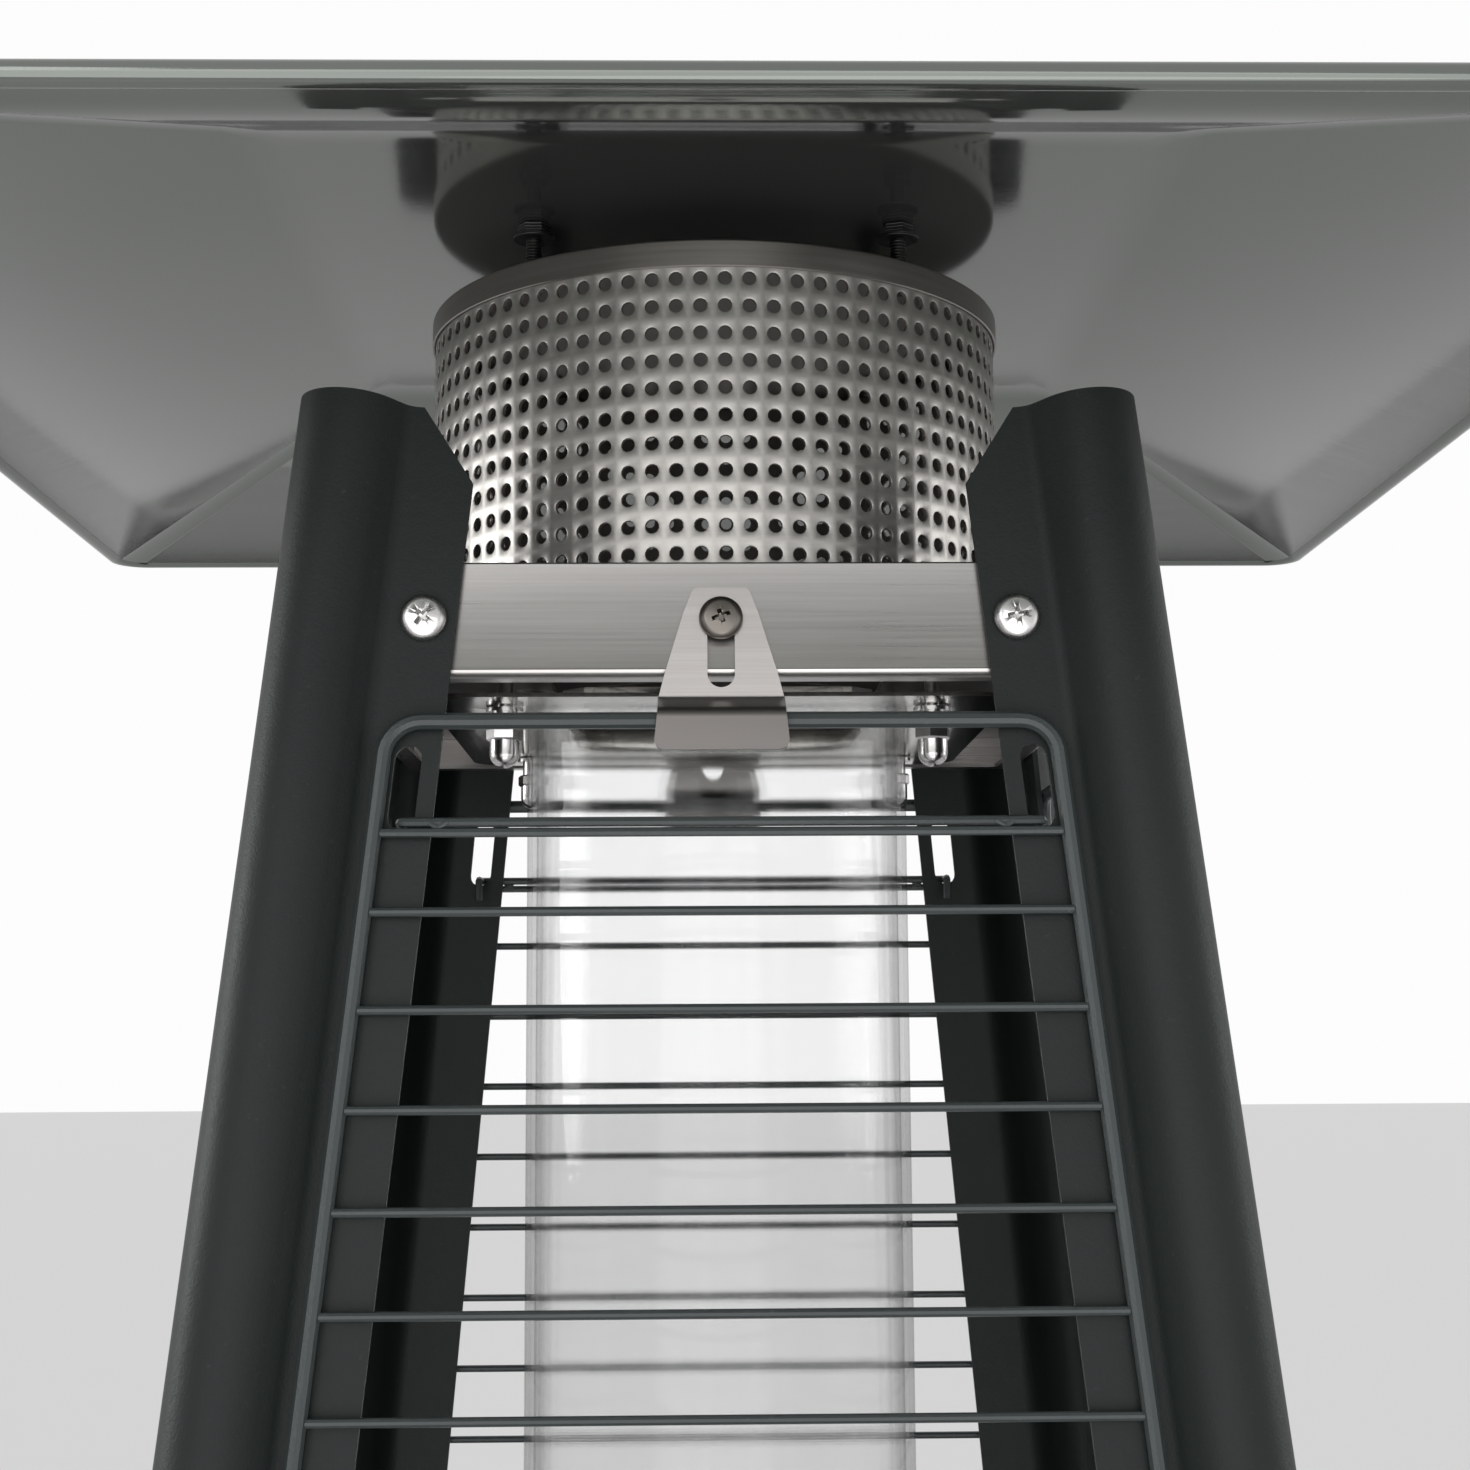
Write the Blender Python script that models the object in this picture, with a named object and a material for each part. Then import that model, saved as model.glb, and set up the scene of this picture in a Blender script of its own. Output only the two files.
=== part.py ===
"""Four post pyramid patio heater with a glass flame tube, a perforated outlet screen and a square reflector.

Metres, +Z up, the floor at zero and the front towards -Y. Posts, panels, guards and latches all lie in
planes that lean inwards by the same slope, so most pieces are drawn for the front or for the front left
corner and turned round the middle by quarter turns.
"""

import math

import bmesh
import bpy
from mathutils import Matrix, Vector

# Clearances and overruns
GAP = 0.0003
OVERRUN = 0.004
SHARP_ANGLE = math.radians(32)
QUARTER = math.pi / 2
SIDES = ("front", "right", "rear", "left")
CORNERS = ("front_left", "front_right", "rear_right", "rear_left")

# Lean of the four faces, and the height at which the face sizes are given
SLOPE = 0.0965
NECK_HEIGHT = 2.065
FACE_HALF = 0.0932

# Base pan, feet and wheels
FOOT_HEIGHT = 0.008
FOOT_RADIUS = 0.018
FOOT_INSET = 0.050
FOOT_TAPER = 0.002
BASE_DEPTH = 0.038
BASE_LIP = 0.004
BASE_WALL = 0.0015
BASE_CORNER = 0.020
EAR_THICK = 0.003
EAR_HALF = 0.009
EAR_SPREAD = 0.030
WHEEL_PLACE = 0.170
WHEEL_RADIUS = 0.020
WHEEL_WIDTH = 0.020
WHEEL_TREAD = 0.005
WHEEL_LIFT = 0.0025
WHEEL_OPENING = 0.003
HUB_RADIUS = 0.009
HUB_PROUD = 0.002
AXLE_RADIUS = 0.004
AXLE_HEAD = 0.007
AXLE_HEAD_THICK = 0.004
AXLE_CLEAR = 0.00008

# Corner posts
POST_SHEET = 0.0015
POST_ABOVE = 0.065
POST_INSET = 0.0322
FLANGE_WIDTH = 0.0165
CROWN_RADIUS = 0.0125
CROWN_STEP = 0.0102
CROWN_STEPS = 6
CHAMFER_WIDTH = 0.0140
CHAMFER_DROP = 0.0225

# Guards and the slots that they hang in
WIRE = 0.0038
BAR = 0.0022
GUARD_LAP = 0.0161
GUARD_BELOW = 0.0105
GUARD_CORNER = 0.0105
GUARD_CORNER_STEPS = 3
FIRST_GAP = 0.0251
SECOND_GAP = 0.0175
BAR_PITCH = 0.0213
GUARD_CLEAR = 0.035
HOOK_WIDTH = 0.0024
HOOK_LEG = 0.0060
HOOK_RISE = 0.0026
LOWER_HOOK_ABOVE = 3
SLOT_INSET = 0.0070
SLOT_WIDTH = 0.0061
SLOT_HEIGHT = 0.0190

# Neck box with its shelf
BOX_HEIGHT = 0.027
BOX_SHEET = 0.0012
BOX_LIP = 0.007
SHELF_RISE = 0.0095
SHELF_SHEET = 0.0015
FLUE_RADIUS = 0.060

# Latches
LATCH_SHEET = 0.0012
LATCH_TOP = 0.0206
LATCH_TOP_HALF = 0.0067
LATCH_WAIST_HALF = 0.0129
LATCH_LOW = -0.0057
LATCH_LOW_HALF = 0.0143
LATCH_STEP = 0.0034
LATCH_TAB = 0.0085
LATCH_TAB_HALF = 0.0150
LATCH_TAB_CORNER = 0.0020
LATCH_SLOT_WIDTH = 0.0061
LATCH_SLOT_LOW = -0.0027
LATCH_SLOT_HIGH = 0.0165
LATCH_SCREW_RISE = 0.0132
SCREW_HEAD = 0.0050
SCREW_HEAD_THICK = 0.0026
SCREW_SHANK = 0.0024
SCREW_LENGTH = 0.0080
SCREW_CORNER = 0.0011

# Glass tube, its seat and its holder
TUBE_RADIUS = 0.0500
TUBE_WALL = 0.0025
TUBE_INSERT = 0.0062
HOLDER_SHEET = 0.0010
HOLDER_HALF = 0.0700
HOLDER_CORNER = 0.0100
HOLDER_COLLAR = 0.0060
SEAT_HEIGHT = 0.0120
SEAT_STEP = 0.0060
SEAT_RIM = 0.0040
SEAT_BORE = 0.0440

# Studs that clamp the holder under the shelf
CLAMP_PLACE = 0.0520
CLAMP_STUD = 0.0019
CLAMP_COLLAR = 0.0032
CLAMP_COLLAR_LONG = 0.0047
CLAMP_HEX = 0.0042
CLAMP_HEX_THICK = 0.0032
CLAMP_DOME = 0.0036
CLAMP_DOME_DROP = 0.0064

# Outlet screen and lid
SCREEN_CLEAR = 0.0092
SCREEN_LEDGE = 0.0090
SCREEN_WALL = 0.0010
SCREEN_RISE = 0.1080
SCREEN_FACETS = 24
SCREEN_ROWS = 4
SCREEN_HOLE = 0.0080
SCREEN_FIRST_ROW = 0.0260
SCREEN_LAST_ROW = 0.0140
LID_WALL = 0.0007
LID_SKIRT = 0.0058

# Reflector and its studs
REFLECTOR_HALF = 0.2150
REFLECTOR_STAND = 0.0142
REFLECTOR_DROP = 0.0360
REFLECTOR_FLAT_HALF = 0.1086
REFLECTOR_SHEET = 0.0008
REFLECTOR_CORNER = 0.0100
REFLECTOR_FOLD_CORNER = 0.0020
BEAD_RADIUS = 0.0024
STUD_INSET = 0.0099
STUD_RADIUS = 0.0020
STUD_NUT = 0.0038
STUD_NUT_THICK = 0.0030
STUD_ABOVE = 0.0068
REFLECTOR_NUT_DOME = 0.0035
NUT_CEILING = 0.0012

# Burner deck and what stands on it
DECK_HEIGHT = 0.800
DECK_SHEET = 0.0015
DECK_LIP = 0.016
BURNER_RADIUS = 0.0300
BURNER_FLANGE = 0.0430
BURNER_FLANGE_THICK = 0.0020
BURNER_HEIGHT = 0.0500
BURNER_DOME = 0.0120
BURNER_THROAT = 0.0120
BURNER_THROAT_DROP = 0.0300
BURNER_SLOT = 0.0030
BURNER_SLOTS = 8
BURNER_WALL = 0.0020
PILOT_PLACE = 0.0380
PILOT_WIDTH = 0.0060
PILOT_THICK = 0.0015
PILOT_HEIGHT = 0.0400
PILOT_ROD = 0.0016
PILOT_ROD_HIGH = 0.0520
PILOT_ARM = 0.0040

# Lower panels and control panel
PANEL_SHEET = 0.0010
PANEL_LAP = 0.010
PANEL_FOOT = 0.002
PANEL_LIP = 0.012
CONTROL_HEIGHT = 0.150
CONTROL_GAP = 0.003
KNOB_DROP = 0.075
KNOB_SIDE = 0.045
BUTTON_SIDE = -0.045

# Door
DOOR_GAP = 0.0020
DOOR_SHEET = 0.0012
DOOR_DEPTH = 0.0120
DOOR_FOOT = 0.010
PIN_RADIUS = 0.0030
PIN_LENGTH = 0.016
PIN_CLEAR = 0.00008
PIN_INSET = 0.0070
PIN_BOSS = 0.0060
PIN_BOSS_CLEAR = 0.0020
PIN_HEAD = 0.0050
HINGE_TAB = 0.002
PIN_ABOVE = 0.012
HANDLE_LENGTH = 0.110
HANDLE_WIDTH = 0.010
HANDLE_STAND = 0.024
HANDLE_BAR = 0.008
HANDLE_FOOT = 0.014
HANDLE_INSET = 0.030

# Controls
KNOB_RADIUS = 0.0210
KNOB_GRIP = 0.0150
KNOB_DEPTH = 0.0240
KNOB_SKIRT = 0.0070
KNOB_FLUTES = 12
KNOB_FLUTE = 0.0014
KNOB_STAND = 0.0050
KNOB_BORE_DEPTH = 0.0140
STEM_RADIUS = 0.0040
STEM_CLEAR = 0.0003
STEM_TRAVEL = 0.0030
STEM_GRIP = 0.0120
STEM_HOLE = 0.0055
BUTTON_RADIUS = 0.0075
BUTTON_HEAD = 0.0030
BUTTON_STEM = 0.0190
BUTTON_COLLAR = 0.0095
BUTTON_COLLAR_THICK = 0.0020
BUTTON_HOLE = 0.0078
BUTTON_STAND = 0.0070
BARREL_RADIUS = 0.0120
BARREL_DEPTH = 0.0300
BARREL_WALL = 0.0015
VALVE_BACK = 0.022
VALVE_NECK = 0.0100
VALVE_HALF = 0.020
VALVE_DEPTH = 0.045
VALVE_PORT = 0.008
VALVE_PORT_LONG = 0.018
PIPE_RADIUS = 0.005
PIPE_BEND = 0.016
PIPE_BEND_STEPS = 5

STEEL_GREY = (0.52, 0.50, 0.48)
CHARCOAL = (0.030, 0.034, 0.034)
GUARD_GREY = (0.060, 0.065, 0.065)

BASE_TOP = FOOT_HEIGHT + BASE_DEPTH
AXLE_HEIGHT = WHEEL_LIFT + WHEEL_RADIUS
BOX_TOP = NECK_HEIGHT + BOX_HEIGHT
SHELF_LOW = NECK_HEIGHT + SHELF_RISE
SHELF_TOP = SHELF_LOW + SHELF_SHEET
POST_TOP = NECK_HEIGHT + POST_ABOVE
GUARD_TOP = NECK_HEIGHT - GUARD_BELOW
FIRST_BAR = GUARD_TOP - FIRST_GAP
SECOND_BAR = FIRST_BAR - SECOND_GAP
BAR_COUNT = 1 + int((SECOND_BAR - DECK_HEIGHT - GUARD_CLEAR) / BAR_PITCH)
LOWER_HOOK_BAR = BAR_COUNT - LOWER_HOOK_ABOVE
TUBE_TOP = NECK_HEIGHT + TUBE_INSERT
SCREEN_TOP = NECK_HEIGHT + SCREEN_RISE
SCREEN_FLANGE = FACE_HALF - SCREEN_CLEAR
SCREEN_RADIUS = SCREEN_FLANGE - SCREEN_LEDGE
STUD_PLACE = (SCREEN_RADIUS - STUD_INSET) / math.sqrt(2)
LID_TOP = SCREEN_TOP + GAP + LID_WALL
REFLECTOR_FLAT = LID_TOP + REFLECTOR_STAND + REFLECTOR_SHEET
REFLECTOR_RIM = REFLECTOR_FLAT - REFLECTOR_DROP
DOOR_TOP = DECK_HEIGHT - DECK_LIP - CONTROL_HEIGHT - CONTROL_GAP
POST_OPENING = FACE_HALF - POST_INSET
CROWN_OUT = FACE_HALF + CROWN_STEP
GUARD_HALF = POST_OPENING + GUARD_LAP
CROWN_MIDDLE = CROWN_OUT - CROWN_RADIUS
FACE_TILT = math.atan(SLOPE)


def lean(z):
    """How far a face stands outside its place at the neck, at this height."""
    return SLOPE * (NECK_HEIGHT - z)


def face(z):
    """Half the width across the panels and the neck box at this height."""
    return FACE_HALF + lean(z)


def flange_out(z):
    """The outer side of the post flanges at this height."""
    return face(z) + GAP + POST_SHEET


def opening(z):
    """Half the clear width between two posts at this height."""
    return POST_OPENING + lean(z)


def clear_scene():
    for obj in list(bpy.data.objects):
        bpy.data.objects.remove(obj, do_unlink=True)


def finish(obj, colour, roughness, metallic, alpha=1.0):
    skin = bpy.data.materials.new(obj.name)
    skin.use_nodes = True
    shader = skin.node_tree.nodes["Principled BSDF"]
    shader.inputs["Base Color"].default_value = (*colour, 1.0)
    shader.inputs["Roughness"].default_value = roughness
    shader.inputs["Metallic"].default_value = metallic
    shader.inputs["Alpha"].default_value = alpha
    obj.data.materials.clear()
    obj.data.materials.append(skin)
    return obj


def add_object(name, bm, location=(0, 0, 0)):
    bmesh.ops.recalc_face_normals(bm, faces=bm.faces)
    mesh = bpy.data.meshes.new(name)
    bm.to_mesh(mesh)
    bm.free()
    mesh.shade_smooth()
    mesh.set_sharp_from_angle(angle=SHARP_ANGLE)
    obj = bpy.data.objects.new(name, mesh)
    obj.location = location
    bpy.context.scene.collection.objects.link(obj)
    return obj


def loft(rings):
    """A closed body through rings of equal counts, capped at both ends."""
    bm = bmesh.new()
    rows = [[bm.verts.new(point) for point in ring] for ring in rings]
    bm.faces.new(rows[0])
    bm.faces.new(list(reversed(rows[-1])))
    for low, high in zip(rows, rows[1:]):
        for k in range(len(low)):
            after = (k + 1) % len(low)
            bm.faces.new((low[k], low[after], high[after], high[k]))
    return bm


def turned(profile, sides, middle=(0, 0)):
    """A body turned round the vertical: a closed profile of (radius, height), or one from pole to pole."""
    bm = bmesh.new()
    solid = profile[0][0] == 0
    rows = []
    for radius, height in profile:
        if radius == 0:
            rows.append([bm.verts.new((middle[0], middle[1], height))])
            continue
        angles = [2 * math.pi * k / sides for k in range(sides)]
        places = [(middle[0] + radius * math.cos(a), middle[1] + radius * math.sin(a), height) for a in angles]
        rows.append([bm.verts.new(place) for place in places])
    pairs = list(zip(rows, rows[1:])) if solid else list(zip(rows, rows[1:] + rows[:1]))
    for low, high in pairs:
        for k in range(sides):
            after = (k + 1) % sides
            corners = [low[k % len(low)], low[after % len(low)], high[after % len(high)], high[k % len(high)]]
            bm.faces.new(list(dict.fromkeys(corners)))
    return bm


def box(low, high):
    ring = [(low[0], low[1]), (high[0], low[1]), (high[0], high[1]), (low[0], high[1])]
    return loft([[(x, y, z) for x, y in ring] for z in (low[2], high[2])])


def rounded_square(half, corner, steps):
    """Points round a square with rounded corners, centred on the origin."""
    points = []
    for k in range(4):
        for step in range(steps + 1):
            turn = QUARTER * (k + step / steps)
            start = QUARTER * (k + 0.5)
            middle = (half - corner) * math.sqrt(2)
            x = middle * math.cos(start) + corner * math.cos(turn)
            y = middle * math.sin(start) + corner * math.sin(turn)
            points.append((x, y))
    return points


def strip(points, thickness):
    """The closed outline of a sheet whose outer side follows these points, thickened to their left."""
    offsets = []
    for k, point in enumerate(points):
        before = Vector(points[max(k - 1, 0)])
        after = Vector(points[min(k + 1, len(points) - 1)])
        here = Vector(point)
        into = (here - before).normalized() if k else (after - here).normalized()
        out = (after - here).normalized() if k < len(points) - 1 else into
        normal = Vector((-(into + out).y, (into + out).x)).normalized()
        share = normal.dot(Vector((-into.y, into.x)))
        offsets.append(here + normal * (thickness / share))
    return [tuple(p) for p in points] + [tuple(p) for p in reversed(offsets)]


def hide_cutter(cutter):
    cutter.hide_render = True
    cutter.display_type = "WIRE"


def carve(obj, cutter, operation="DIFFERENCE"):
    hide_cutter(cutter)
    boolean = obj.modifiers.new(cutter.name, "BOOLEAN")
    boolean.operation = operation
    boolean.solver = "EXACT"
    boolean.object = cutter


def along_face_normal(bm, x, z, side_out):
    """Moves a body drawn round the vertical so that its axis leaves the front face at (x, z)."""
    turn = Matrix.Rotation(QUARTER - FACE_TILT, 4, "X")
    place = Matrix.Translation((x, -side_out, z))
    bmesh.ops.transform(bm, matrix=place @ turn, verts=bm.verts)
    return bm


def quarter_copies(name, mesh_object, names, colour, roughness, metallic):
    """Four objects on one mesh, a quarter turn apart, each with its own material."""
    for k, side in enumerate(names):
        copy = mesh_object if k == 0 else mesh_object.copy()
        copy.name = f"{name}_{side}"
        if k:
            copy.data = mesh_object.data.copy()
            bpy.context.scene.collection.objects.link(copy)
        copy.location = Matrix.Rotation(k * QUARTER, 3, "Z") @ mesh_object.location
        copy.rotation_euler = (0, 0, k * QUARTER)
        finish(copy, colour, roughness, metallic)


def place_cutters(k, cutters, target):
    """Copies cutters drawn for the first quarter to quarter k and carves them from the target."""
    for cutter in cutters:
        hide_cutter(cutter)
        copy = cutter.copy()
        bpy.context.scene.collection.objects.link(copy)
        copy.location = Matrix.Rotation(k * QUARTER, 3, "Z") @ cutter.location
        copy.rotation_euler = (0, 0, k * QUARTER)
        carve(target, copy)


# Posts


def post_path():
    """Outer side of the post section as (out along X, out along Y), from one flange edge to the other."""
    flat = FACE_HALF + GAP + POST_SHEET
    bend = POST_OPENING + FLANGE_WIDTH
    points = [(POST_OPENING, flat), (bend, flat)]
    reach = math.hypot(CROWN_MIDDLE - bend, CROWN_MIDDLE - flat)
    start = QUARTER + math.atan2(CROWN_MIDDLE - flat, CROWN_MIDDLE - bend) + math.asin(CROWN_RADIUS / reach)
    sweep = 2 * (start - QUARTER / 2)
    for step in range(CROWN_STEPS + 1):
        angle = start - sweep * step / CROWN_STEPS
        x = CROWN_MIDDLE + CROWN_RADIUS * math.cos(angle)
        y = CROWN_MIDDLE + CROWN_RADIUS * math.sin(angle)
        points.append((x, y))
    return points + [(flat, bend), (flat, POST_OPENING)]


def post_ring(z, tilt=0.0):
    """The post section at a height: level, or tilted so that the outer corner stands higher."""
    points = []
    for x, y in strip(post_path(), -POST_SHEET):
        height = z + tilt * (x + y - 2 * CROWN_MIDDLE)
        points.append((-(x + lean(height)), -(y + lean(height)), height))
    return points


def slot_places():
    """Lower edges of the hook slots on one flange."""
    heights = (FIRST_BAR, bar_height(LOWER_HOOK_BAR))
    return [height + BAR / 2 - GAP for height in heights]


def flange_cutters(name):
    """What is cut from the front flange of the front left post: the top chamfer and the hook slots."""
    edge = -opening(POST_TOP)
    deep = (-flange_out(POST_TOP) - OVERRUN, -face(POST_TOP) + OVERRUN)
    outline = [
        (edge + OVERRUN, POST_TOP + OVERRUN),
        (edge - CHAMFER_WIDTH, POST_TOP + OVERRUN),
        (edge - CHAMFER_WIDTH, POST_TOP),
        (edge, POST_TOP - CHAMFER_DROP),
        (edge + OVERRUN, POST_TOP - CHAMFER_DROP),
    ]
    cutters = [add_object(name + "_chamfer", loft([[(x, y, z) for x, z in outline] for y in deep]))]
    for k, low in enumerate(slot_places()):
        rings = []
        for z in (low, low + SLOT_HEIGHT):
            middle = -(slot_middle(z))
            x_low, x_high = middle - SLOT_WIDTH / 2, middle + SLOT_WIDTH / 2
            y_low, y_high = -flange_out(z) - OVERRUN, -face(z) + OVERRUN
            rings.append([(x_low, y_low, z), (x_high, y_low, z), (x_high, y_high, z), (x_low, y_high, z)])
        cutters.append(add_object(f"{name}_slot_{k}", loft(rings)))
    return cutters


def slot_middle(z):
    return opening(z) + SLOT_INSET


def make_posts():
    front = flange_cutters("front_flange_cut")
    side = flange_cutters("side_flange_cut")
    swap = Matrix(((0, 1, 0, 0), (1, 0, 0, 0), (0, 0, 1, 0), (0, 0, 0, 1)))
    for cutter in side:
        cutter.data.transform(swap)
        cutter.data.flip_normals()
    for k, corner in enumerate(CORNERS):
        bm = loft([post_ring(BASE_TOP + GAP), post_ring(POST_TOP, SLOPE)])
        post = add_object(f"post_{corner}", bm)
        post.rotation_euler = (0, 0, k * QUARTER)
        place_cutters(k, front + side, post)
        finish(post, CHARCOAL, 0.42, 0.0)


# Guards


def bar_height(k):
    """Height of crossbar k, counted from the top. The first gap is narrower than the rest."""
    return FIRST_BAR if k == 0 else SECOND_BAR - (k - 1) * BAR_PITCH


def guard_bottom():
    return bar_height(BAR_COUNT - 1) - BAR_PITCH


def guard_plane(z):
    return flange_out(z) + GAP + WIRE / 2


def guard_half(z):
    return GUARD_HALF + SLOPE * (GUARD_TOP - z)


def guard_corner(side, z_edge, inward, inset):
    """Points of a rounded frame corner, from the straight rail to the level wire."""
    points = []
    radius = GUARD_CORNER - inset
    for step in range(GUARD_CORNER_STEPS + 1):
        angle = QUARTER * step / GUARD_CORNER_STEPS
        x = guard_half(z_edge) - GUARD_CORNER + radius * math.cos(angle)
        z = z_edge - inward * (GUARD_CORNER - radius * math.sin(angle))
        points.append((side * x, z))
    return points


def guard_faces():
    """Polygons of the flat ladder: frame, corners, end wires and crossbars, sharing their corner points."""
    polygons = []
    inner = WIRE
    levels = []
    for k in range(BAR_COUNT):
        levels += [bar_height(k) + BAR / 2, bar_height(k) - BAR / 2]
    top, low = GUARD_TOP + WIRE / 2, guard_bottom() - WIRE / 2
    ends = {}
    for side in (-1, 1):
        upper = [guard_corner(side, top, 1, offset) for offset in (0, inner)]
        lower = [guard_corner(side, low, -1, offset) for offset in (0, inner)]
        inner_edge = []
        for z in levels:
            share = (z - upper[1][0][1]) / (lower[1][0][1] - upper[1][0][1])
            x = upper[1][0][0] + (lower[1][0][0] - upper[1][0][0]) * share
            inner_edge.append((x, z))
        ends[side] = inner_edge
        rail = [upper[0][0], upper[1][0], *inner_edge, lower[1][0], lower[0][0]]
        polygons.append(rail)
        for arc in (upper, lower):
            for k in range(GUARD_CORNER_STEPS):
                polygons.append([arc[0][k], arc[0][k + 1], arc[1][k + 1], arc[1][k]])
        ends[side, "top"] = (upper[0][-1], upper[1][-1])
        ends[side, "low"] = (lower[0][-1], lower[1][-1])
    for place in ("top", "low"):
        left, right = ends[-1, place], ends[1, place]
        polygons.append([left[0], right[0], right[1], left[1]])
    for k in range(BAR_COUNT):
        a, b = ends[-1][2 * k], ends[-1][2 * k + 1]
        c, d = ends[1][2 * k + 1], ends[1][2 * k]
        polygons.append([a, b, c, d])
    return polygons


def plate_between(polygons, depth_at, thickness):
    """A closed body from polygons in (x, z), standing between two leaning planes."""
    bm = bmesh.new()
    flat = {}
    for layer, side in enumerate((-1, 1)):
        for polygon in polygons:
            for x, z in polygon:
                if (x, z, layer) not in flat:
                    y = -depth_at(z) + side * thickness / 2
                    flat[x, z, layer] = bm.verts.new((x, y, z))
    edges = {}
    for polygon in polygons:
        bm.faces.new([flat[x, z, 0] for x, z in polygon])
        bm.faces.new([flat[x, z, 1] for x, z in reversed(polygon)])
        for k, point in enumerate(polygon):
            pair = frozenset((point, polygon[(k + 1) % len(polygon)]))
            edges[pair] = edges.get(pair, 0) + 1
    for pair, count in edges.items():
        if count == 1:
            a, b = sorted(pair)
            bm.faces.new((flat[*a, 0], flat[*b, 0], flat[*b, 1], flat[*a, 1]))
    return bm


def hook(side, bar):
    """A hook that leaves the guard beside a crossbar, passes its slot and turns down behind the flange."""
    low = bar_height(bar) + BAR / 2
    high = low + HOOK_RISE
    back = face(low) - GAP - POST_SHEET
    leg = back - HOOK_WIDTH
    front = guard_plane(low) + BAR / 2
    outline = [(front, bar_height(bar)), (front, high), (leg, high), (leg, low - HOOK_LEG)]
    outline += [(back, low - HOOK_LEG), (back, low), (guard_plane(low) - BAR / 2, low)]
    outline += [(guard_plane(low) - BAR / 2, bar_height(bar))]
    middle = side * slot_middle(low)
    bm = loft([[(middle + end * HOOK_WIDTH / 2, -y, z) for y, z in outline] for end in (-1, 1)])
    return bm


def make_guards():
    bm = plate_between(guard_faces(), guard_plane, BAR)
    guard = add_object("guard", bm)
    for side in (-1, 1):
        for bar in (0, LOWER_HOOK_BAR):
            cutter = add_object(f"hook_{side}_{bar}", hook(side, bar))
            carve(guard, cutter, "UNION")
    settle(guard)
    recentre(guard, (0, -guard_plane(GUARD_TOP), GUARD_TOP))
    quarter_copies("guard", guard, SIDES, GUARD_GREY, 0.45, 0.2)


def settle(obj):
    """Turns an object's modifiers into its mesh."""
    graph = bpy.context.evaluated_depsgraph_get()
    mesh = bpy.data.meshes.new_from_object(obj.evaluated_get(graph))
    obj.modifiers.clear()
    obj.data = mesh


def recentre(obj, place):
    """Moves the origin to a place without moving the shape."""
    obj.data.transform(Matrix.Translation(-Vector(place)))
    obj.location = place


# Neck box, holder, screen and lid


def make_neck_box():
    def ring(half, z):
        return [(x, y, z) for x, y in ((-half, -half), (half, -half), (half, half), (-half, half))]

    hollow_low = face(SHELF_LOW) - BOX_SHEET
    rings = [
        ring(hollow_low, SHELF_LOW),
        ring(face(NECK_HEIGHT) - BOX_SHEET, NECK_HEIGHT + BOX_SHEET),
        ring(face(NECK_HEIGHT) - BOX_LIP, NECK_HEIGHT + BOX_SHEET),
        ring(face(NECK_HEIGHT) - BOX_LIP, NECK_HEIGHT),
        ring(face(NECK_HEIGHT), NECK_HEIGHT),
        ring(face(BOX_TOP), BOX_TOP),
        ring(face(BOX_TOP) - BOX_SHEET, BOX_TOP),
        ring(face(SHELF_TOP) - BOX_SHEET, SHELF_TOP),
    ]
    neck = add_object("neck_box", loft(rings))
    flue = [(0, SHELF_LOW - OVERRUN), (FLUE_RADIUS, SHELF_LOW - OVERRUN)]
    flue += [(FLUE_RADIUS, SHELF_TOP + OVERRUN), (0, SHELF_TOP + OVERRUN)]
    carve(neck, add_object("flue_cut", turned(flue, 24)))
    for k in range(4):
        carve(neck, clamp_hole(k, "neck", SHELF_LOW, SHELF_TOP))
        x, y = quarter_point(0, -1, k)
        bore = turned(disc_profile(SCREW_SHANK + GAP, -SCREW_LENGTH, SCREW_LENGTH), 8)
        z = NECK_HEIGHT + LATCH_SCREW_RISE
        along_face_normal(bore, 0, z, face(z))
        bore.transform(Matrix.Rotation(k * QUARTER, 4, "Z"))
        carve(neck, add_object(f"latch_screw_cut_{k}", bore))
    finish(neck, STEEL_GREY, 0.34, 1.0)


def quarter_point(x, y, k):
    """The point turned round the middle by k quarter turns."""
    for _ in range(k):
        x, y = -y, x
    return x, y


def disc_profile(radius, low, high):
    return [(0, low), (radius, low), (radius, high), (0, high)]


def clamp_hole(k, name, low, high):
    place = quarter_point(-CLAMP_PLACE, -CLAMP_PLACE, k)
    bm = turned(disc_profile(CLAMP_STUD + GAP, low - OVERRUN, high + OVERRUN), 6, place)
    return add_object(f"{name}_clamp_cut_{k}", bm)


def make_glass_holder():
    """Square plate under the shelf with an upturned collar round the tube end."""
    top = NECK_HEIGHT
    plate = rounded_square(HOLDER_HALF, HOLDER_CORNER, 4)
    rings = [[(x, y, z) for x, y in plate] for z in (top - HOLDER_SHEET, top)]
    holder = add_object("glass_holder", loft(rings))
    bore = TUBE_RADIUS + GAP
    outer = bore + HOLDER_SHEET
    collar = [(bore, top - HOLDER_SHEET / 2), (outer, top - HOLDER_SHEET / 2)]
    collar += [(outer, top + HOLDER_COLLAR), (bore, top + HOLDER_COLLAR)]
    carve(holder, add_object("holder_collar", turned(collar, 24)), "UNION")
    bore_cut = disc_profile(bore, top - HOLDER_SHEET - OVERRUN, top + HOLDER_COLLAR + OVERRUN)
    carve(holder, add_object("holder_cut", turned(bore_cut, 24)))
    for k in range(4):
        carve(holder, clamp_hole(k, "holder", top - HOLDER_SHEET, top))
    finish(holder, STEEL_GREY, 0.4, 1.0)


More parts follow.
